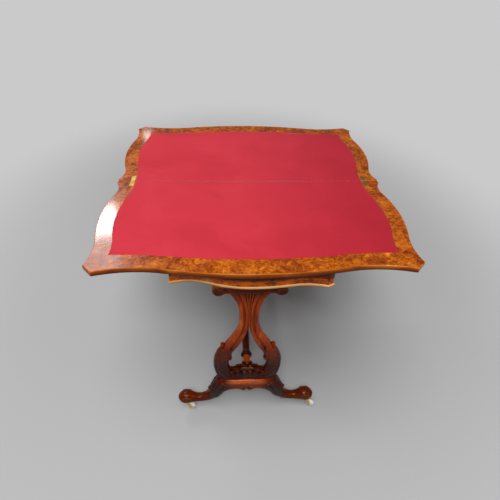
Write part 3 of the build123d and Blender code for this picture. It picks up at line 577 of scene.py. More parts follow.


# Height in metres and the painted light and shade there. The carved pieces stand on the foot, so theirs begin
# near its top.
# carved pieces: painted shade on the cluster, the bow and under the frieze, and painted light on the arms
CARVED_PAINTED_LIGHT = ((0.178, (222, 200, 180)), (0.188, (226, 206, 188)), (0.196, (80, 65, 58)),
                 (0.28, (84, 70, 61)), (0.36, (140, 124, 112)), (0.43, (226, 226, 226)),
                 (0.58, (226, 226, 226)), (0.632, (100, 80, 70)))
# the foot: a painted highlight along the roll on its top, and painted shade towards the floor
FOOT_PAINTED_LIGHT = ((0.0, (66, 52, 45)), (0.05, (120, 102, 92)), (0.09, (124, 108, 98)),
               (0.12, (164, 146, 132)), (0.16, (172, 154, 140)), (0.177, (255, 250, 240)),
               (0.188, (255, 252, 246)), (0.192, (190, 168, 150)))
# the bead: painted shade on its lower half and a painted highlight along its top
BEAD_PAINTED_LIGHT = ((0.66, (176, 122, 82)), (0.6634, (206, 160, 122)), (0.6652, (255, 246, 236)),
               (0.668, (255, 255, 255)))
# the frieze: a painted shadow along its top, under the overhang of the leaf
FRIEZE_PAINTED_SHADOW = ((0.66, (255, 252, 248)), (0.6845, (255, 248, 238)), (0.691, (132, 110, 94)),
                 (0.72, (112, 92, 78)))
# the leaf's moulded edge: painted shade, darker towards its underside
EDGE_PAINTED_SHADE = ((0.72, (70, 52, 42)), (0.727, (150, 120, 100)), (0.734, (214, 190, 168)),
               (0.738, (255, 255, 255)))
# Painted light and shade the same way, by distance from the base's middle: along the foot, and along the
# stretcher.
# the foot: painted shade over the knees, so the painted highlight on its roll stays in the middle
FOOT_LENGTH_PAINTED_LIGHT = ((0.0, (255, 255, 255)), (0.045, (255, 252, 248)), (0.08, (112, 94, 84)),
                      (0.1, (96, 80, 70)), (0.122, (106, 88, 78)), (0.15, (255, 255, 255)))
# the stretcher: painted shade on the shaft and collars, and painted light on each neck
TURNED_PAINTED_LIGHT = ((0.0, (150, 130, 118)), (0.34, (120, 100, 90)), (0.3645, (92, 74, 66)),
                 (0.3665, (216, 202, 188)), (0.4, (216, 202, 188)))

POLISHED = {"figure": 9.0, "gloss": 0.24, "lines": 0.06, "pore": 0.2}
# the carved finishes: painted shade deep in the carving, and lighter worn edges
CARVED = {**POLISHED, "recess": (16, 4, 0), "wear": (230, 136, 56)}

MATERIALS = {
    "baize": cloth("baize", (198, 47, 61), (191, 43, 57), (203, 52, 66)),
    "burr_veneer": burr("burr_veneer", (84, 26, 0), (140, 58, 2), (188, 94, 8), (230, 140, 34)),
    "walnut_top": wood("walnut_top", (120, 50, 4), (180, 92, 14), (226, 138, 44), 0, lines=0.1,
                       coat=0.2, painted_light=EDGE_PAINTED_SHADE),
    "walnut_frieze": wood("walnut_frieze", (120, 42, 0), (206, 98, 8), (250, 154, 40), 0, figure=18.0,
                          stretch=11.0, lines=0.04, speckle=0.5, coat=0.25, painted_light=FRIEZE_PAINTED_SHADOW),
    "bead_wood": wood("bead_wood", (226, 150, 76), (250, 200, 128), (255, 226, 170), 0, lines=0.08,
                      wear=(255, 234, 196), painted_light=BEAD_PAINTED_LIGHT),
    "walnut_carved": wood("walnut_carved", (138, 43, 0), (195, 74, 3), (244, 113, 15), 2, coat=0.26,
                          painted_light=CARVED_PAINTED_LIGHT, **CARVED),
    "walnut_foot": wood("walnut_foot", (136, 50, 6), (192, 84, 14), (242, 128, 36), 0, coat=0.3,
                        painted_light=FOOT_PAINTED_LIGHT, length_painted_light=FOOT_LENGTH_PAINTED_LIGHT, **CARVED),
    # the stretcher: painted shade in its grooves, and painted light along its length
    "walnut_turned": wood("walnut_turned", (120, 40, 0), (190, 84, 6), (236, 126, 26), 1, coat=0.4,
                          recess=(20, 5, 0), painted_light=TURNED_PAINTED_LIGHT, painted_light_axis="Y", **POLISHED),
    "inner_wood": wood("inner_wood", (128, 88, 52), (168, 124, 80), (198, 156, 108), 1, gloss=0.55,
                       coat=0.0),
    "brass": metal("brass", (250, 208, 124), (196, 146, 76), 0.34),
    "iron": metal("iron", (92, 88, 84), (52, 44, 38), 0.42, 0.4),
    "china": china("china", (238, 234, 224), (176, 156, 124)),
}


def slot_of(name):
    """Which finish a CAD node that stays in sight takes."""
    rules = (("baize", "baize"), ("border", "burr_veneer"), ("show_veneer", "burr_veneer"),
             ("hinge", "brass"), ("leaf_cluster", "walnut_carved"),
             ("leaf", "walnut_top"), ("frieze_bead", "bead_wood"), ("frieze", "walnut_frieze"),
             ("bearer_screws", "iron"), ("pivot_board", "inner_wood"), ("cross_rail", "inner_wood"),
             ("corner", "inner_wood"), ("well", "inner_wood"), ("stop_peg", "inner_wood"),
             ("pivot", "iron"), ("castor_wheel", "china"), ("castor", "brass"))
    for word, slot in rules:
        if word in name:
            return slot
    return "walnut_carved"


# part of a node's name, and how far its sharp edges are worn round
SOFT_ARRIS = (("border", 1.1), ("er_leaf", 1.4), ("frieze_bead", 1.0))


def dress_frame():
    """Give every CAD node its finish."""
    for name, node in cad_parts.items():
        finish = MATERIALS[slot_of(name)]
        for index in range(len(node.material_slots)):
            node.material_slots[index].link = "OBJECT"
            node.material_slots[index].material = finish
        for word, width in SOFT_ARRIS:
            if word in name and node.type == "MESH":
                soften = node.modifiers.new("arris", "BEVEL")
                soften.width = width * MM
                soften.segments = 3
                soften.limit_method = "ANGLE"
                soften.angle_limit = radians(50)
                break


# Baize

LEAF_HALF = 465.0
LEAF_DEPTH = 473.0
SIDE_BORDER = 49.0
FRONT_BORDER = 59.0
BAIZE_SEAM = 0.06             # between the two cloths
BAIZE_TOP = 739.85
BAIZE_SHOWN = 0.7             # thickness of the cloth as it is drawn
CLOTH_STEP = 9.0
EDGE_PRESS = 0.12             # how far the cloth is pressed down along its edge
NAP_SINK = 0.05               # how far the rest lies under its top, and how much it ripples
NAP_RIPPLE = 0.04
RIPPLE_SCALE = 9              # ripples in a metre


def baize_half():
    """One leaf's baize, for y above 0: from the hinge line's end at +x round to its end at -x."""
    w, d = LEAF_HALF - SIDE_BORDER, LEAF_DEPTH - FRONT_BORDER

    def at(x, y):
        return (x * w, y * d)
    right = serpentine(at(1, 0.5266), at(0.9675, 0.2343), at(0.9423, 0), (0, -1))[::-1]
    right += serpentine(at(1, 0.5266), at(0.9736, 0.7536), at(0.9591, 0.9444), (0, 1))[1:]
    right += serpentine(at(0, 1), at(0.5649, 0.9638), at(0.9591, 0.9444), (1, 0))[::-1][1:]
    outline = right + [(-x, y) for x, y in right[-2::-1]]
    outline[0] = (outline[0][0], BAIZE_SEAM / 2)
    outline[-1] = (outline[-1][0], BAIZE_SEAM / 2)
    return outline


def flat_area(outline):
    pairs = zip(outline, outline[1:] + outline[:1])
    return abs(sum(a[0] * b[1] - b[0] * a[1] for a, b in pairs)) / 2


def cut_across(work, axis, low, high):
    """Cut a flat mesh into even strips, square to an axis."""
    normal = [int(i == axis) for i in range(3)]
    level = low + CLOTH_STEP
    while level < high:
        geometry = work.verts[:] + work.edges[:] + work.faces[:]
        place = [level * MM * share for share in normal]
        bmesh.ops.bisect_plane(work, geom=geometry, plane_co=place, plane_no=normal)
        level += 2 * CLOTH_STEP


def baize_sheet(name, side, body, node):
    """A stretched sheet: pressed down along its edge, with the lie of the nap in its surface."""
    outline = [(x, side * y) for x, y in baize_half()]
    work = bmesh.new()
    edge = []
    for a, b in zip(outline, outline[1:] + outline[:1]):
        count = max(1, ceil(hypot(b[0] - a[0], b[1] - a[1]) / CLOTH_STEP))
        edge += [(lerp(a[0], b[0], i / count), lerp(a[1], b[1], i / count)) for i in range(count)]
    work.faces.new([work.verts.new((x * MM, y * MM, BAIZE_TOP * MM)) for x, y in edge])
    bmesh.ops.triangulate(work, faces=work.faces)
    low = min(y for x, y in edge)
    high = max(y for x, y in edge)
    wide = max(x for x, y in edge)
    cut_across(work, 0, -wide, wide)
    cut_across(work, 1, low, high)
    for vert in work.verts:
        ripple = noise.noise(Vector((vert.co.x * RIPPLE_SCALE, vert.co.y * RIPPLE_SCALE, 3.0)))
        on_edge = any(e.is_boundary for e in vert.link_edges) and abs(vert.co.y) > MM
        vert.co.z += (-EDGE_PRESS if on_edge else NAP_RIPPLE * ripple - NAP_SINK) * MM
    mesh = bpy.data.meshes.new(name)
    for face in work.faces:
        if face.normal.z < 0:
            face.normal_flip()
    work.to_mesh(mesh)
    work.free()
    shade_smooth(mesh)
    obj = new_object(name, mesh)
    mesh.materials.append(MATERIALS["baize"])
    thick = obj.modifiers.new("thickness", "SOLIDIFY")
    thick.thickness = BAIZE_SHOWN * MM
    thick.offset = -1
    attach(obj, body)
    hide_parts(node)
    flat_area(outline) * MM * MM


# Lyre arms

# x from the base's middle, z, half width and half thickness, from the bearer down into the bow
ARM_ROD = ((46, 634, 18.5, 15), (36.5, 616, 17.2, 15), (27, 594, 16.2, 14.5), (20.5, 568, 14.6, 14.2),
           (16.8, 540, 14.2, 14), (15.6, 512, 14.6, 14), (16.6, 484, 15.4, 14.2), (20.6, 458, 17.2, 14.6),
           (27, 434, 18.6, 15), (37, 410, 20.4, 15.2), (49, 387, 21.5, 15.2), (60, 366, 21.5, 15),
           (70, 346, 20, 14), (78, 326, 16, 11))
# the carved sheath from its ragged lip down to the foot
ARM_SHEATH = ((69, 356, 20, 14), (74, 344, 24, 17), (81, 326, 26, 17.5), (86.5, 304, 26.5, 17.5),
              (89.5, 282, 25.5, 17.2), (88.5, 258, 26, 17), (83.5, 234, 27.5, 17), (77, 212, 27, 17),
              (71, 190, 26, 17))


def reeded(s):
    """Height across an arm: a bold round outside, a lower round inside and a groove between."""
    bold = sqrt(max(1 - ((s - 0.42) / 0.58) ** 2, 0.0))
    low = 0.8 * sqrt(max(1 - ((s + 0.56) / 0.44) ** 2, 0.0))
    floor = 0.46 * max(1 - s * s, 0.0) ** 0.35
    return max(bold, low, floor)


def foliate(s, t):
    """Height across the bow: a raised outer rim, and long low leaves that sweep up inside it."""
    body = max(1 - s * s, 0.0) ** 0.4
    rim = 0.1 * hump(s, 0.8, 0.12) - 0.16 * hump(s, 0.58, 0.07)
    vein = abs(sin(pi * (4.5 * t + 1.9 * (s + 1.0)))) ** 0.7
    inside = smooth(0.52 - s, 0.0, 0.16)
    return body * (0.91 + rim + inside * 0.09 * vein)


def arm_ring(centre, along, half_width, half_thick, height):
    """One section of an arm, square to its path in the lyre's plane."""
    normal = Vector((-along.y, along.x))
    if normal.x < 0:
        normal = -normal
    ring = []
    for c, s in around(52):
        y = height(c) * half_thick * (1 if s >= 0 else -1)
        if abs(s) < 1e-6:
            y = 0.0
        ring.append((centre.x + normal.x * half_width * c, y, centre.y + normal.y * half_width * c))
    return ring


def arm_sweep(shape, table, steps, height_at, edge_at=None):
    """Sections joined along a table of places and half sizes."""
    rows = spline_row(table, steps)
    rings = []
    for i, (x, z, half_width, half_thick) in enumerate(rows):
        t = i / steps
        width = half_width * (edge_at(t) if edge_at else 1.0)
        rings.append(arm_ring(Vector((x, z)), flat_course(rows, i), width, half_thick,
                              lambda s: height_at(s, t)))
    shape.rings(rings)


def curl(shape, centre, radius, start, turns, half_thick, thick):
    """A leaf tip rolled into a small scroll right through the arm, with a round eye each side."""
    steps = 36
    path = [(centre[0] + x, centre[1] + z)
            for x, z in spiral(start, turns, radius, 0.18 * radius, steps, 0.8)]
    rings = []
    for i, (x, z) in enumerate(path):
        along = flat_course(path, i)
        t = i / steps
        half = half_thick * lerp(0.82, 1.0, t)
        size = thick * lerp(1.0, 0.65, t)
        rings.append([(x - along.y * size * s, half * signed_power(c, 0.5), z + along.x * size * s)
                      for c, s in around(16)])
    shape.rings(rings)
    for side in (-1, 1):
        eye = (centre[0], side * half_thick * 0.96, centre[1])
        shape.ball(eye, (radius * 0.34, 2.2, radius * 0.34), 12)


def lyre_arm():
    """The front arm of a lyre, in the lyre's own plane."""
    arm = Shape()
    arm_sweep(arm, ARM_ROD, 110, lambda s, t: reeded(s))
    arm_sweep(arm, ARM_SHEATH, 130, foliate,
              lambda t: 1.0 + 0.02 * abs(sin(pi * 7.0 * t + 0.6)) ** 0.7)
    curl(arm, (82.5, 375.0), 8.4, 190, 1.4, 8.0, 3.0)
    curl(arm, (60.5, 304.5), 7.6, -20, -1.4, 9.5, 2.6)
    for side in (-1, 1):
        face = 14.0 * side
        arm.leaf([(88, face, 318), (86, face, 334), (83, face, 350), (81, face * 0.9, 362)],
                 (9, 11, 9, 7), (0, side, 0), 4.2, 1.5, lobes=3)
        arm.leaf([(84, face, 322), (74, face * 1.04, 344), (65, face * 1.0, 362), (58, face * 0.9, 376)],
                 (7, 9, 7, 1.2), (0, side, 0), 4.0, 1.0, lobes=3)
        arm.leaf([(82, face, 292), (73, face * 1.05, 304), (65, face, 310), (59, face * 0.85, 312)],
                 (8, 8, 6, 4), (0, side, 0), 4.0, 1.5, lobes=3)
    return arm


def wedge():
    """The reeded keystone in the splay between the arms: five reeds on a thin web."""
    made = Shape()
    half = [(0.0, 470), (5.0, 530), (11.0, 580), (18.0, 612), (25.0, 633)]
    made.plate(half + [(-x, z) for x, z in reversed(half[1:])], -7.0, 7.0)
    for centre in (-15.6, -7.8, 0.0, 7.8, 15.6):
        rows = [(centre * 0.05, 468, 0.6), (centre * 0.22, 520, 1.6), (centre * 0.5, 566, 2.6),
                (centre * 0.95, 606, 4.0), (centre * 1.4, 632, 5.0)]
        made.rings([[(x + size * c, 11.5 * signed_power(s, 0.6), z) for c, s in around(18)]
                    for x, z, size in spline_row(rows, 30)])
    return made


# Leaf cluster

# for each leaf: x, share of the face's own y, and z along its middle, then its half widths
SPRAYS = ((((8, 0.9, 197), (20, 1.12, 212), (30, 1.1, 230), (34, 0.9, 243)), (6, 11, 10, 4.5)),
          (((14, 0.9, 196), (34, 1.12, 206), (48, 1.1, 220), (55, 0.88, 233)), (6, 11, 10, 4.5)),
          (((20, 0.9, 194), (44, 1.08, 199), (62, 1.04, 208), (72, 0.85, 219)), (5, 9, 9, 4.5)),
          (((3, 0.95, 196), (8, 1.15, 216), (11, 1.12, 240)), (6, 8, 7)))
CREST = ((16, 249), (26, 244), (38, 238), (50, 230), (60, 222), (69, 214))


def cluster():
    """Carved leaves between the feet of the arms: broad sprays from the middle and two rolled eyes."""
    made = Shape()
    made.ball((0, 0, 214), (44, 12.5, 34), 20)
    for hand in (-1, 1):
        made.ball((hand * 31, 0, 209), (41, 11.5, 32), 18)
        made.ball((hand * 11, 0, 251), (9.5, 9.0, 8.0), 14)
        for face in (-1, 1):
            y = 12.5 * face
            for points, widths in SPRAYS:
                path = [(hand * x, y * share, z) for x, share, z in points]
                made.leaf(path, widths, (0, face, 0.25), 4.4, 1.5, 4)
            eye = [(hand * (11 + x), y * 1.06, 254 + z) for x, z in spiral(215, -1.5, 8.0, 2.4, 18)]
            made.tube(eye, 2.8, 1.8)
            made.ball((hand * 11, y * 1.1, 254), (3.6, 3.4, 3.6), 12)
            made.tube(spline_row([(hand * x, y * 0.62, z) for x, z in CREST], 30), 5.2, 4.0, 12)
    for face in (-1, 1):
        made.leaf([(0, 11 * face, 194), (0, 14 * face, 212), (0, 13.6 * face, 232), (0, 9 * face, 244)],
                  (6, 8, 6, 2), (0, face, 0.25), 4.2, 1.0, 4)
    return made


# Feet

# x from the base's middle, top, underside, half thickness, and how square the section is above and below
FOOT_TABLE = ((0, 192, 141, 24.5, 5.0, 3.6), (24, 192, 141.5, 24.5, 5.0, 3.6),
              (45, 192, 141.5, 24.5, 5.0, 3.6), (60, 191.8, 138, 24.5, 5.0, 3.6),
              (70, 191.2, 132, 24.5, 4.2, 3.6), (80, 190, 124.5, 24.5, 3.2, 3.4),
              (88, 188, 116, 24.5, 2.6, 3.2), (96, 183.5, 101, 24.3, 2.5, 3.0),
              (104, 176, 85, 23.6, 2.4, 2.8), (112, 162.5, 70, 22.6, 2.3, 2.6),
              (120, 148, 60, 21.4, 2.3, 2.5), (128, 131, 53, 20, 2.2, 2.4),
              (136, 107, 49, 18.8, 2.2, 2.3), (144, 90, 46.5, 17.6, 2.1, 2.2),
              (154, 78.5, 44.5, 16.6, 2.1, 2.2), (166, 72, 42.5, 15.6, 2.1, 2.2),
              (178, 71, 41.5, 15.6, 2.1, 2.2), (188, 73.5, 41, 16.6, 2.1, 2.2),
              (196, 78, 41.3, 18.6, 2.1, 2.3), (204, 82.6, 41.6, 20.8, 2.1, 2.4),
              (213, 86, 41, 22.6, 2.1, 2.5), (222, 87.4, 40.8, 23.4, 2.1, 2.5),
              (231, 86.2, 41.5, 23, 2.1, 2.5), (238, 83, 44, 21.2, 2.1, 2.4),
              (244.5, 78, 48.5, 17.6, 2.1, 2.3), (249.5, 72.5, 55, 12, 2.1, 2.2),
              (252.6, 67.5, 61, 4.5, 2.1, 2.2))


def foot_row(x):
    """Top, underside, half thickness and squareness at a distance from the middle."""
    x = min(abs(x), FOOT_TABLE[-1][0])
    for low, high in zip(FOOT_TABLE, FOOT_TABLE[1:]):
        if x <= high[0]:
            t = (x - low[0]) / (high[0] - low[0])
            return [lerp(a, b, t) for a, b in zip(low[1:], high[1:])]


# the roll along the top of the foot's middle, and the body set back under it
ROLL_RADIUS = 12.0
ROLL_LEVEL = 180.0
BODY_HALF = 19.5
ROLL_END = (64.0, 92.0)


def rolled(x, y, z):
    """The foot's side where its middle has a round roll along the top over a set-back body."""
    share = 1 - smooth(abs(x), *ROLL_END)
    reach = clamp(abs(z - ROLL_LEVEL) / ROLL_RADIUS)
    roll = 24.5 - ROLL_RADIUS + ROLL_RADIUS * sqrt(1 - reach * reach)
    body = min(abs(y), BODY_HALF) if z < ROLL_LEVEL else 0.0
    side = min(abs(y), max(roll, body)) if z < ROLL_LEVEL + ROLL_RADIUS - 0.5 else min(abs(y), roll)
    return lerp(abs(y), side, share) * (1 if y >= 0 else -1)


def foot_side(x, z):
    """Half thickness of the foot at a place on its side."""
    top, bottom, half, above, below = foot_row(x)
    middle = (top + bottom) / 2
    power = above if z > middle else below
    share = clamp(abs(z - middle) / ((top - bottom) / 2), 0.0, 0.98)
    return abs(rolled(x, half * (1 - share ** power) ** (1 / power), z))


def foot_ring(x, top, bottom, half, above, below):
    ring = []
    middle, rise = (top + bottom) / 2, (top - bottom) / 2
    for c, s in around(112):
        power = above if s > 0 else below
        z = middle + rise * signed_power(s, 2 / power)
        ring.append((x, rolled(x, half * signed_power(c, 2 / power), z), z))
    return ring


def foot_leaves(hand):
    """Leafage over a knee: a broad leaf on top whose tip turns up, and sprays down both sides."""
    made = Shape()
    made.leaf([(hand * 86, 0, 190), (hand * 102, 0, 180), (hand * 116, 0, 157), (hand * 127, 0, 136),
               (hand * 134, 0, 123), (hand * 140, 0, 119)], (20, 21, 19, 16, 10, 3), (hand * 0.75, 0, 0.66),
              5.5, 10.0, lobes=6, steps=54)
    for face in (-1, 1):
        def on(points, lift):
            return [(hand * x, face * (foot_side(x, z) + lift), z) for x, z in points]
        made.leaf(on([(84, 178), (100, 158), (112, 132), (124, 108), (134, 92)], 0.4), (8, 12, 12, 9, 2),
                  (0, face, 0), 4.0, 2.0, lobes=7, steps=50)
        made.leaf(on([(76, 166), (86, 146), (95, 124), (104, 102), (114, 84)], 0.2), (6, 10, 10, 8, 2),
                  (0, face, 0), 3.6, 1.6, lobes=6, steps=46)
        made.leaf(on([(66, 156), (70, 148), (76, 138), (84, 128)], 0.0), (4, 7, 6, 1.5),
                  (0, face, 0), 3.0, 1.2, lobes=4)
    made.leaf([(hand * 66, 0, 137), (hand * 73, 0, 125), (hand * 78, 0, 113), (hand * 76, 0, 106)],
              (14, 12, 9, 3), (-hand, 0, -0.4), 4.5, 1.0, lobes=3)
    return made


TOE_X, TOE_Z = 224, 65        # the eye of a toe's scroll
FOOT_STATIONS = 220
# x and z of the moulding under the foot's arch and pendants, from the middle outwards
ARCH = [(0, 138.5), (8, 131), (17, 133), (26, 140), (45, 141.5), (66, 135.5), (80, 125), (90, 113.5)]


def toe_scroll(hand):
    """The scroll cut on both sides of a toe."""
    made = Shape()
    for face in (-1, 1):
        path = []
        for out, up in spiral(205, -1.55, 17.0, 3.0, 45, 0.85):
            x, z = TOE_X + 1.2 * out, TOE_Z + up
            path.append((hand * x, face * (foot_side(x, z) - 0.4), z))
        made.tube(path, 2.3, 1.3)
        made.ball((hand * TOE_X, face * 23.0, TOE_Z), (4.6, 2.4, 4.6), 12)
    return made


def foot():
    """A carved foot: arched middle with pendants, leaf knees, thin necks and scroll toes."""
    made = Shape()
    reach = FOOT_TABLE[-1][0]
    stations = [lerp(-reach, reach, i / FOOT_STATIONS) for i in range(FOOT_STATIONS + 1)]
    made.rings([foot_ring(x, *foot_row(x)) for x in stations])
    arch = spline_row([(-x, z) for x, z in ARCH[:0:-1]] + ARCH, 90)
    for face in (-1, 1):
        made.tube([(x, face * 18.6, z) for x, z in arch], 2.7, 2.7)
    for hand in (-1, 1):
        made.leaf([(hand * 18, 0, 146), (hand * 15, 0, 132), (hand * 10.5, 0, 121), (hand * 3, 0, 121.5)],
                  (21, 20, 14, 5), (hand, 0, -0.35), 5.0, 2.0, 3)
        made.join(foot_leaves(hand), toe_scroll(hand))
    return made


# Bearers

BEARER_HALF = 108.0
VOLUTE = 18.5
# depth under the frieze and half thickness there
BEARER_SECTION = ((0, 18.0), (4, 18.0), (7, 16.0), (12, 13.6), (19, 13.0), (24, 13.8), (27, 15.4),
                  (29, 15.8), (31, 14.6))


def bearer():
    """The block under the frieze: a coved middle, set back, between two rolled volutes."""
    made = Shape()
    centre_x = BEARER_HALF - VOLUTE
    centre_z = FRIEZE_BOTTOM - VOLUTE
    rows = [(half, FRIEZE_BOTTOM - depth) for depth, half in BEARER_SECTION]
    section = rows + [(-y, z) for y, z in reversed(rows)]
    made.rings([[(x, y, z) for y, z in section]
                for x in (-centre_x, -centre_x / 2, 0, centre_x / 2, centre_x)])
    for hand in (-1, 1):
        made.plate([(hand * centre_x + VOLUTE * c, centre_z + VOLUTE * s) for c, s in around(48)],
                   -18.2, 18.2, 2.6)
        inner, outer = hand * (centre_x - 2), hand * (centre_x + VOLUTE - 1)
        block = [(inner, FRIEZE_BOTTOM - 12), (outer, FRIEZE_BOTTOM - 12), (outer, FRIEZE_BOTTOM),
                 (inner, FRIEZE_BOTTOM)]
        made.plate(block, -17.6, 17.6)
        for face in (-1, 1):
            made.tube([(hand * (centre_x + x), face * 18.0, centre_z + z)
                       for x, z in spiral(90, -1.9, 16.0, 3.2, 55, 0.9)], 2.4, 1.4)
            made.ball((hand * centre_x, face * 18.8, centre_z), (4.4, 2.2, 4.4), 12)
    return made


# Stretcher

STRETCHER_Z = 228.0
STRETCHER_HALF = 403.0
TENON_LENGTH = 19.5
TENON_RADIUS = 9.5
# share of the way from the tenon's face to the middle, and radius
TURNING = ((0.0, 12.0), (0.02, 11.8), (0.05, 11.6), (0.08, 11.8), (0.096, 12.2), (0.0985, 14.0),
           (0.1005, 17.6), (0.104, 19.0), (0.108, 19.8), (0.114, 20.0), (0.12, 19.8), (0.124, 19.0),
           (0.1275, 17.6), (0.1295, 14.6), (0.132, 13.2), (0.138, 13.0), (0.1405, 14.2), (0.145, 14.8),
           (0.1495, 14.2), (0.152, 12.9), (0.17, 12.9), (0.24, 13.4), (0.34, 13.8), (0.48, 13.2),
           (0.62, 12.0), (0.76, 10.6), (0.84, 10.2), (0.868, 10.6), (0.874, 12.8), (0.884, 14.4),
           (0.894, 12.8), (0.9, 10.8), (0.91, 11.0), (0.918, 14.6), (0.935, 17.0), (0.96, 18.2),
           (1.0, 18.6))


def stretcher():
    """The turned stretcher, from lyre to lyre, with a tenon at each end."""
    half = [((1 - share) * STRETCHER_HALF, radius) for share, radius in TURNING]
    centre = (BASE_X, 0, STRETCHER_Z)
    made = Shape()
    made.lathe([(-y, r) for y, r in half] + half[-2::-1], centre, (0, 1, 0), 64)
    for end in (-1, 1):
        reach = sorted((end * (STRETCHER_HALF - 2), end * (STRETCHER_HALF + TENON_LENGTH)))
        made.lathe([(y, TENON_RADIUS) for y in reach], centre, (0, 1, 0), 40)
    return made


# Castors

CASTOR_HEADINGS = {"near_back": -21.0, "near_front": -34.0, "far_back": 155.0, "far_front": 24.0}
CASTOR_PLACE = 228.0
CASTOR_TRAIL = 23.0
WHEEL_RADIUS = 16.0
SOCKET_BOTTOM = 40.75


def castor_place(name):
    end, side = name.split("_")
    return (BASE_X + (1 if side == "front" else -1) * CASTOR_PLACE,
            (1 if end == "far" else -1) * SUPPORT_Y)


def castor_horn():
    """Brass horn: a turned crown, two shaped cheeks and domed axle ends."""
    made = Shape()
    top = SOCKET_BOTTOM - 0.3
    made.lathe([(0, 9.0), (-0.4, 9.6), (-1.6, 10.0), (-3.2, 9.4), (-4.5, 8.2)], (0, 0, top), (0, 0, 1), 36)
    made.lathe([(-1, 3.9), (25.0, 3.9), (25.8, 3.2)], (0, 0, top), (0, 0, 1), 24)
    outline = [(-7.5, top - 1.0), (-6.0, top - 0.6), (8.0, top - 0.6), (14.0, top - 3.0), (19.0, top - 8.0),
               (24.0, top - 14.0), (27.6, top - 20.5), (28.4, 16.4), (27.2, 13.0), (24.4, 10.8), (21.2, 11.0),
               (18.6, 13.4), (14.0, 20.0), (7.0, 28.0), (0.0, 33.4), (-6.0, 35.6)]
    for face in (-1, 1):
        inner, outer = face * 7.6, face * 10.0
        made.plate(outline, min(inner, outer), max(inner, outer), 0.7)
        made.lathe([(0, 4.2), (1.2, 4.0), (2.0, 2.6), (2.3, 0.4)], (CASTOR_TRAIL, outer, WHEEL_RADIUS),
                   (0, face, 0), 20)
    return made


def castor_wheel():
    """China wheel: a full round tread, dished sides and a raised hub, bored for its axle."""
    made = Shape()
    section = [(-7.0, 6.0), (-6.9, 7.0), (-6.0, 7.6), (-5.8, 9.0), (-6.4, 11.0), (-6.6, 13.0), (-5.8, 14.6),
               (-4.0, 15.6), (-1.5, 16.0), (1.5, 16.0), (4.0, 15.6), (5.8, 14.6), (6.6, 13.0), (6.4, 11.0),
               (5.8, 9.0), (6.0, 7.6), (6.9, 7.0), (7.0, 6.0), (7.0, 2.7), (-7.0, 2.7)]
    made.skin([[(CASTOR_TRAIL + radius * c, along, WHEEL_RADIUS + radius * s) for c, s in around(48)]
               for along, radius in section], loop=True)
    return made


# Placing the pieces

def build_supports():
    """Both lyres, their clusters, feet and bearers."""
    arm = lyre_arm()
    pieces = ((wedge(), "reeded_wedge_{}", "lyre_{}_wedge", "walnut_carved", None),
              (cluster(), "carved_cluster_{}", "leaf_cluster_{}", "walnut_carved", None),
              (foot(), "carved_foot_{}", "foot_{}", "walnut_foot", None),
              (bearer(), "scroll_bearer_{}", "bearer_{}", "walnut_carved", 40))
    for end, y in (("near", -SUPPORT_Y), ("far", SUPPORT_Y)):
        for side, shape in (("back", arm.mirrored()), ("front", arm)):
            shape.moved(BASE_X, y).build(f"carved_lyre_{end}_{side}_arm", MATERIALS["walnut_carved"],
                                         "base", "walnut_carved", [f"lyre_{end}_{side}_arm"])
        for shape, name, node, finish, crease in pieces:
            shape.moved(BASE_X, y).build(name.format(end), MATERIALS[finish], "base", "walnut_carved",
                                         [node.format(end)], crease)


def build_castors():
    """Four castors, each turned to its own heading."""
    horn, wheel = castor_horn(), castor_wheel()
    for name, heading in CASTOR_HEADINGS.items():
        place = castor_place(name)
        horn.turned(place, radians(heading)).build(
            f"brass_horn_{name}", MATERIALS["brass"], f"castor_{name}", "brass",
            [f"castor_horn_{name}"], crease=35)
        wheel.turned(place, radians(heading)).build(
            f"china_wheel_{name}", MATERIALS["china"], f"wheel_{name}", "china",
            [f"castor_wheel_{name}"], crease=50)


# Stage, lights and camera

FLOOR_SHADES = [(0.3, (173, 173, 174)), (0.7, (177, 177, 178))]
FAR_SHADE = (202, 202, 202)
BOUNCE_SHADE = (120, 116, 112)   # what the floor throws back onto the wood


def build_floor():
    """A plain pale floor. Far from the table it is one even tone, and near it the table's shadow lies."""
    mesh = bpy.data.meshes.new("floor")
    half = FLOOR_SIZE / 2
    corners = [(-half, -half, 0), (half, -half, 0), (half, half, 0), (-half, half, 0)]
    mesh.from_pydata(corners, [], [(0, 1, 2, 3)])
    floor = new_object("floor", mesh)
    paint = Paint("floor_paint")
    paint.colour(paint.ramp(paint.noise(0.4, 2.0, 0.5), FLOOR_SHADES))
    paint.set(Roughness=0.9, Specular_IOR_Level=0.1)
    flat = paint.node("ShaderNodeMapping", {"Vector": paint.place, "Location": (0.0, -0.35, 0.0),
                                            "Scale": (1.0, 0.8, 0.0)})
    reach = paint.node("ShaderNodeVectorMath", {0: flat.outputs["Vector"]}, operation="LENGTH")
    share = paint.ramp(paint.maths("MULTIPLY", reach.outputs["Value"], 0.25), [(0.2, 0.0), (0.5, 1.0)])
    seen = paint.node("ShaderNodeLightPath").outputs
    shown = paint.maths("MAXIMUM", seen["Is Camera Ray"], seen["Is Glossy Ray"])
    shown = paint.maths("MAXIMUM", shown, seen["Is Transmission Ray"])
    far = paint.node("ShaderNodeEmission", {"Color": srgb(*FAR_SHADE)}).outputs["Emission"]
    dull = paint.node("ShaderNodeBsdfDiffuse", {"Color": srgb(*BOUNCE_SHADE)}).outputs["BSDF"]
    near = paint.node("ShaderNodeMixShader", {"Fac": shown, 1: dull, 2: paint.bsdf.outputs["BSDF"]})
    both = paint.node("ShaderNodeMixShader", {"Fac": paint.maths("MULTIPLY", share, shown),
                                              1: near.outputs["Shader"], 2: far})
    paint.link(both.outputs["Shader"], paint.tree.nodes["Material Output"].inputs["Surface"])
    mesh.materials.append(paint.material)


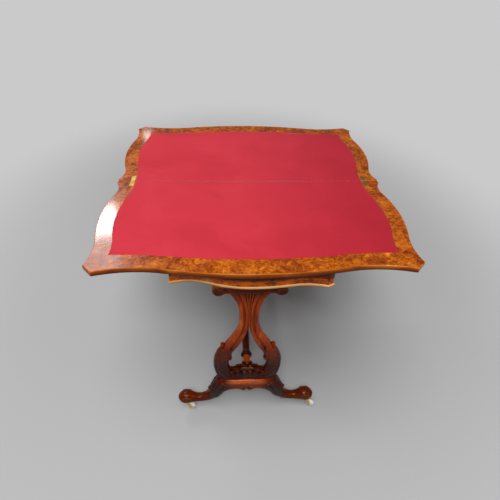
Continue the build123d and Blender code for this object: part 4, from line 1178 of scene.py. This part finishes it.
def aim(name, data, place, target):
    obj = new_object(name, data)
    obj.location = place
    obj.rotation_euler = (Vector(target) - Vector(place)).to_track_quat("-Z", "Y").to_euler()


def lamp(name, place, target, size, power):
    data = bpy.data.lights.new(name, "AREA")
    data.shape = "RECTANGLE"
    data.size, data.size_y = size
    data.energy = power
    aim(name, data, place, target)


def sun(name, place, target, strength, spread):
    data = bpy.data.lights.new(name, "SUN")
    data.energy = strength
    data.angle = radians(spread)
    aim(name, data, place, target)


def build_lights():
    """An even light from above, small windows behind on the left, and soft lamps round the front."""
    sun("overhead", (-0.2, -0.3, 2.0), (0, 0, 0), 1.75, 44)
    lamp("window", (-1.12, 1.41, 1.95), (-0.45, -0.25, 0.74), (0.3, 0.24), 6)
    lamp("window_glow", (-1.16, 0.92, 2.05), (-0.45, -0.46, 0.74), (0.6, 0.3), 2.2)
    lamp("far_window", (-0.86, 2.5, 1.7), (-0.4, 0.33, 0.74), (0.08, 0.08), 0.2)
    lamp("left", (-1.7, -0.1, 2.0), (0, 0, 0.6), (0.8, 1.0), 3.0)
    lamp("front", (-0.22, -2.25, 3.05), (0, -0.4, 0.4), (0.8, 0.8), 50)
    lamp("right", (1.5, -1.2, 1.1), (0, -0.4, 0.55), (0.8, 0.8), 2.5)
    world = bpy.data.worlds.new("studio")
    bpy.context.scene.world = world
    world.use_nodes = True
    background = world.node_tree.nodes["Background"]
    background.inputs["Color"].default_value = (1, 1, 1, 1)
    background.inputs["Strength"].default_value = 0.1


CAMERA_PLACE = (-0.07433, -1.19907, 1.43811)
CAMERA_TURNS = (40.05, -3.94, 2.06)   # pitch down, yaw and roll, in degrees


def build_camera():
    """The photograph's own camera."""
    data = bpy.data.cameras.new("camera")
    data.sensor_width = 36
    data.lens = 28.24
    data.shift_y = -0.002
    data.clip_start = 0.05
    data.clip_end = 200
    camera = new_object("camera", data)
    pitch, yaw, roll = (radians(angle) for angle in CAMERA_TURNS)
    turn = Matrix.Rotation(yaw, 3, "Z")
    right = turn @ Vector((1, 0, 0))
    ahead = turn @ Vector((0, cos(pitch), -sin(pitch)))
    up = turn @ Vector((0, sin(pitch), cos(pitch)))
    leaned_right = right * cos(roll) + up * sin(roll)
    leaned_up = up * cos(roll) - right * sin(roll)
    matrix = Matrix((leaned_right, leaned_up, -ahead)).transposed().to_4x4()
    matrix.translation = Vector(CAMERA_PLACE)
    camera.matrix_world = matrix
    bpy.context.scene.camera = camera


bpy.context.scene.view_settings.view_transform = "Standard"
dress_frame()
baize_sheet("cloth_lower_baize", -1, "top", "lower_baize")
baize_sheet("cloth_upper_baize", 1, "upper", "upper_baize")
build_supports()
stretcher().build("turned_stretcher", MATERIALS["walnut_turned"], "base", "walnut_carved", ["stretcher"])
build_castors()
build_floor()
build_lights()
build_camera()
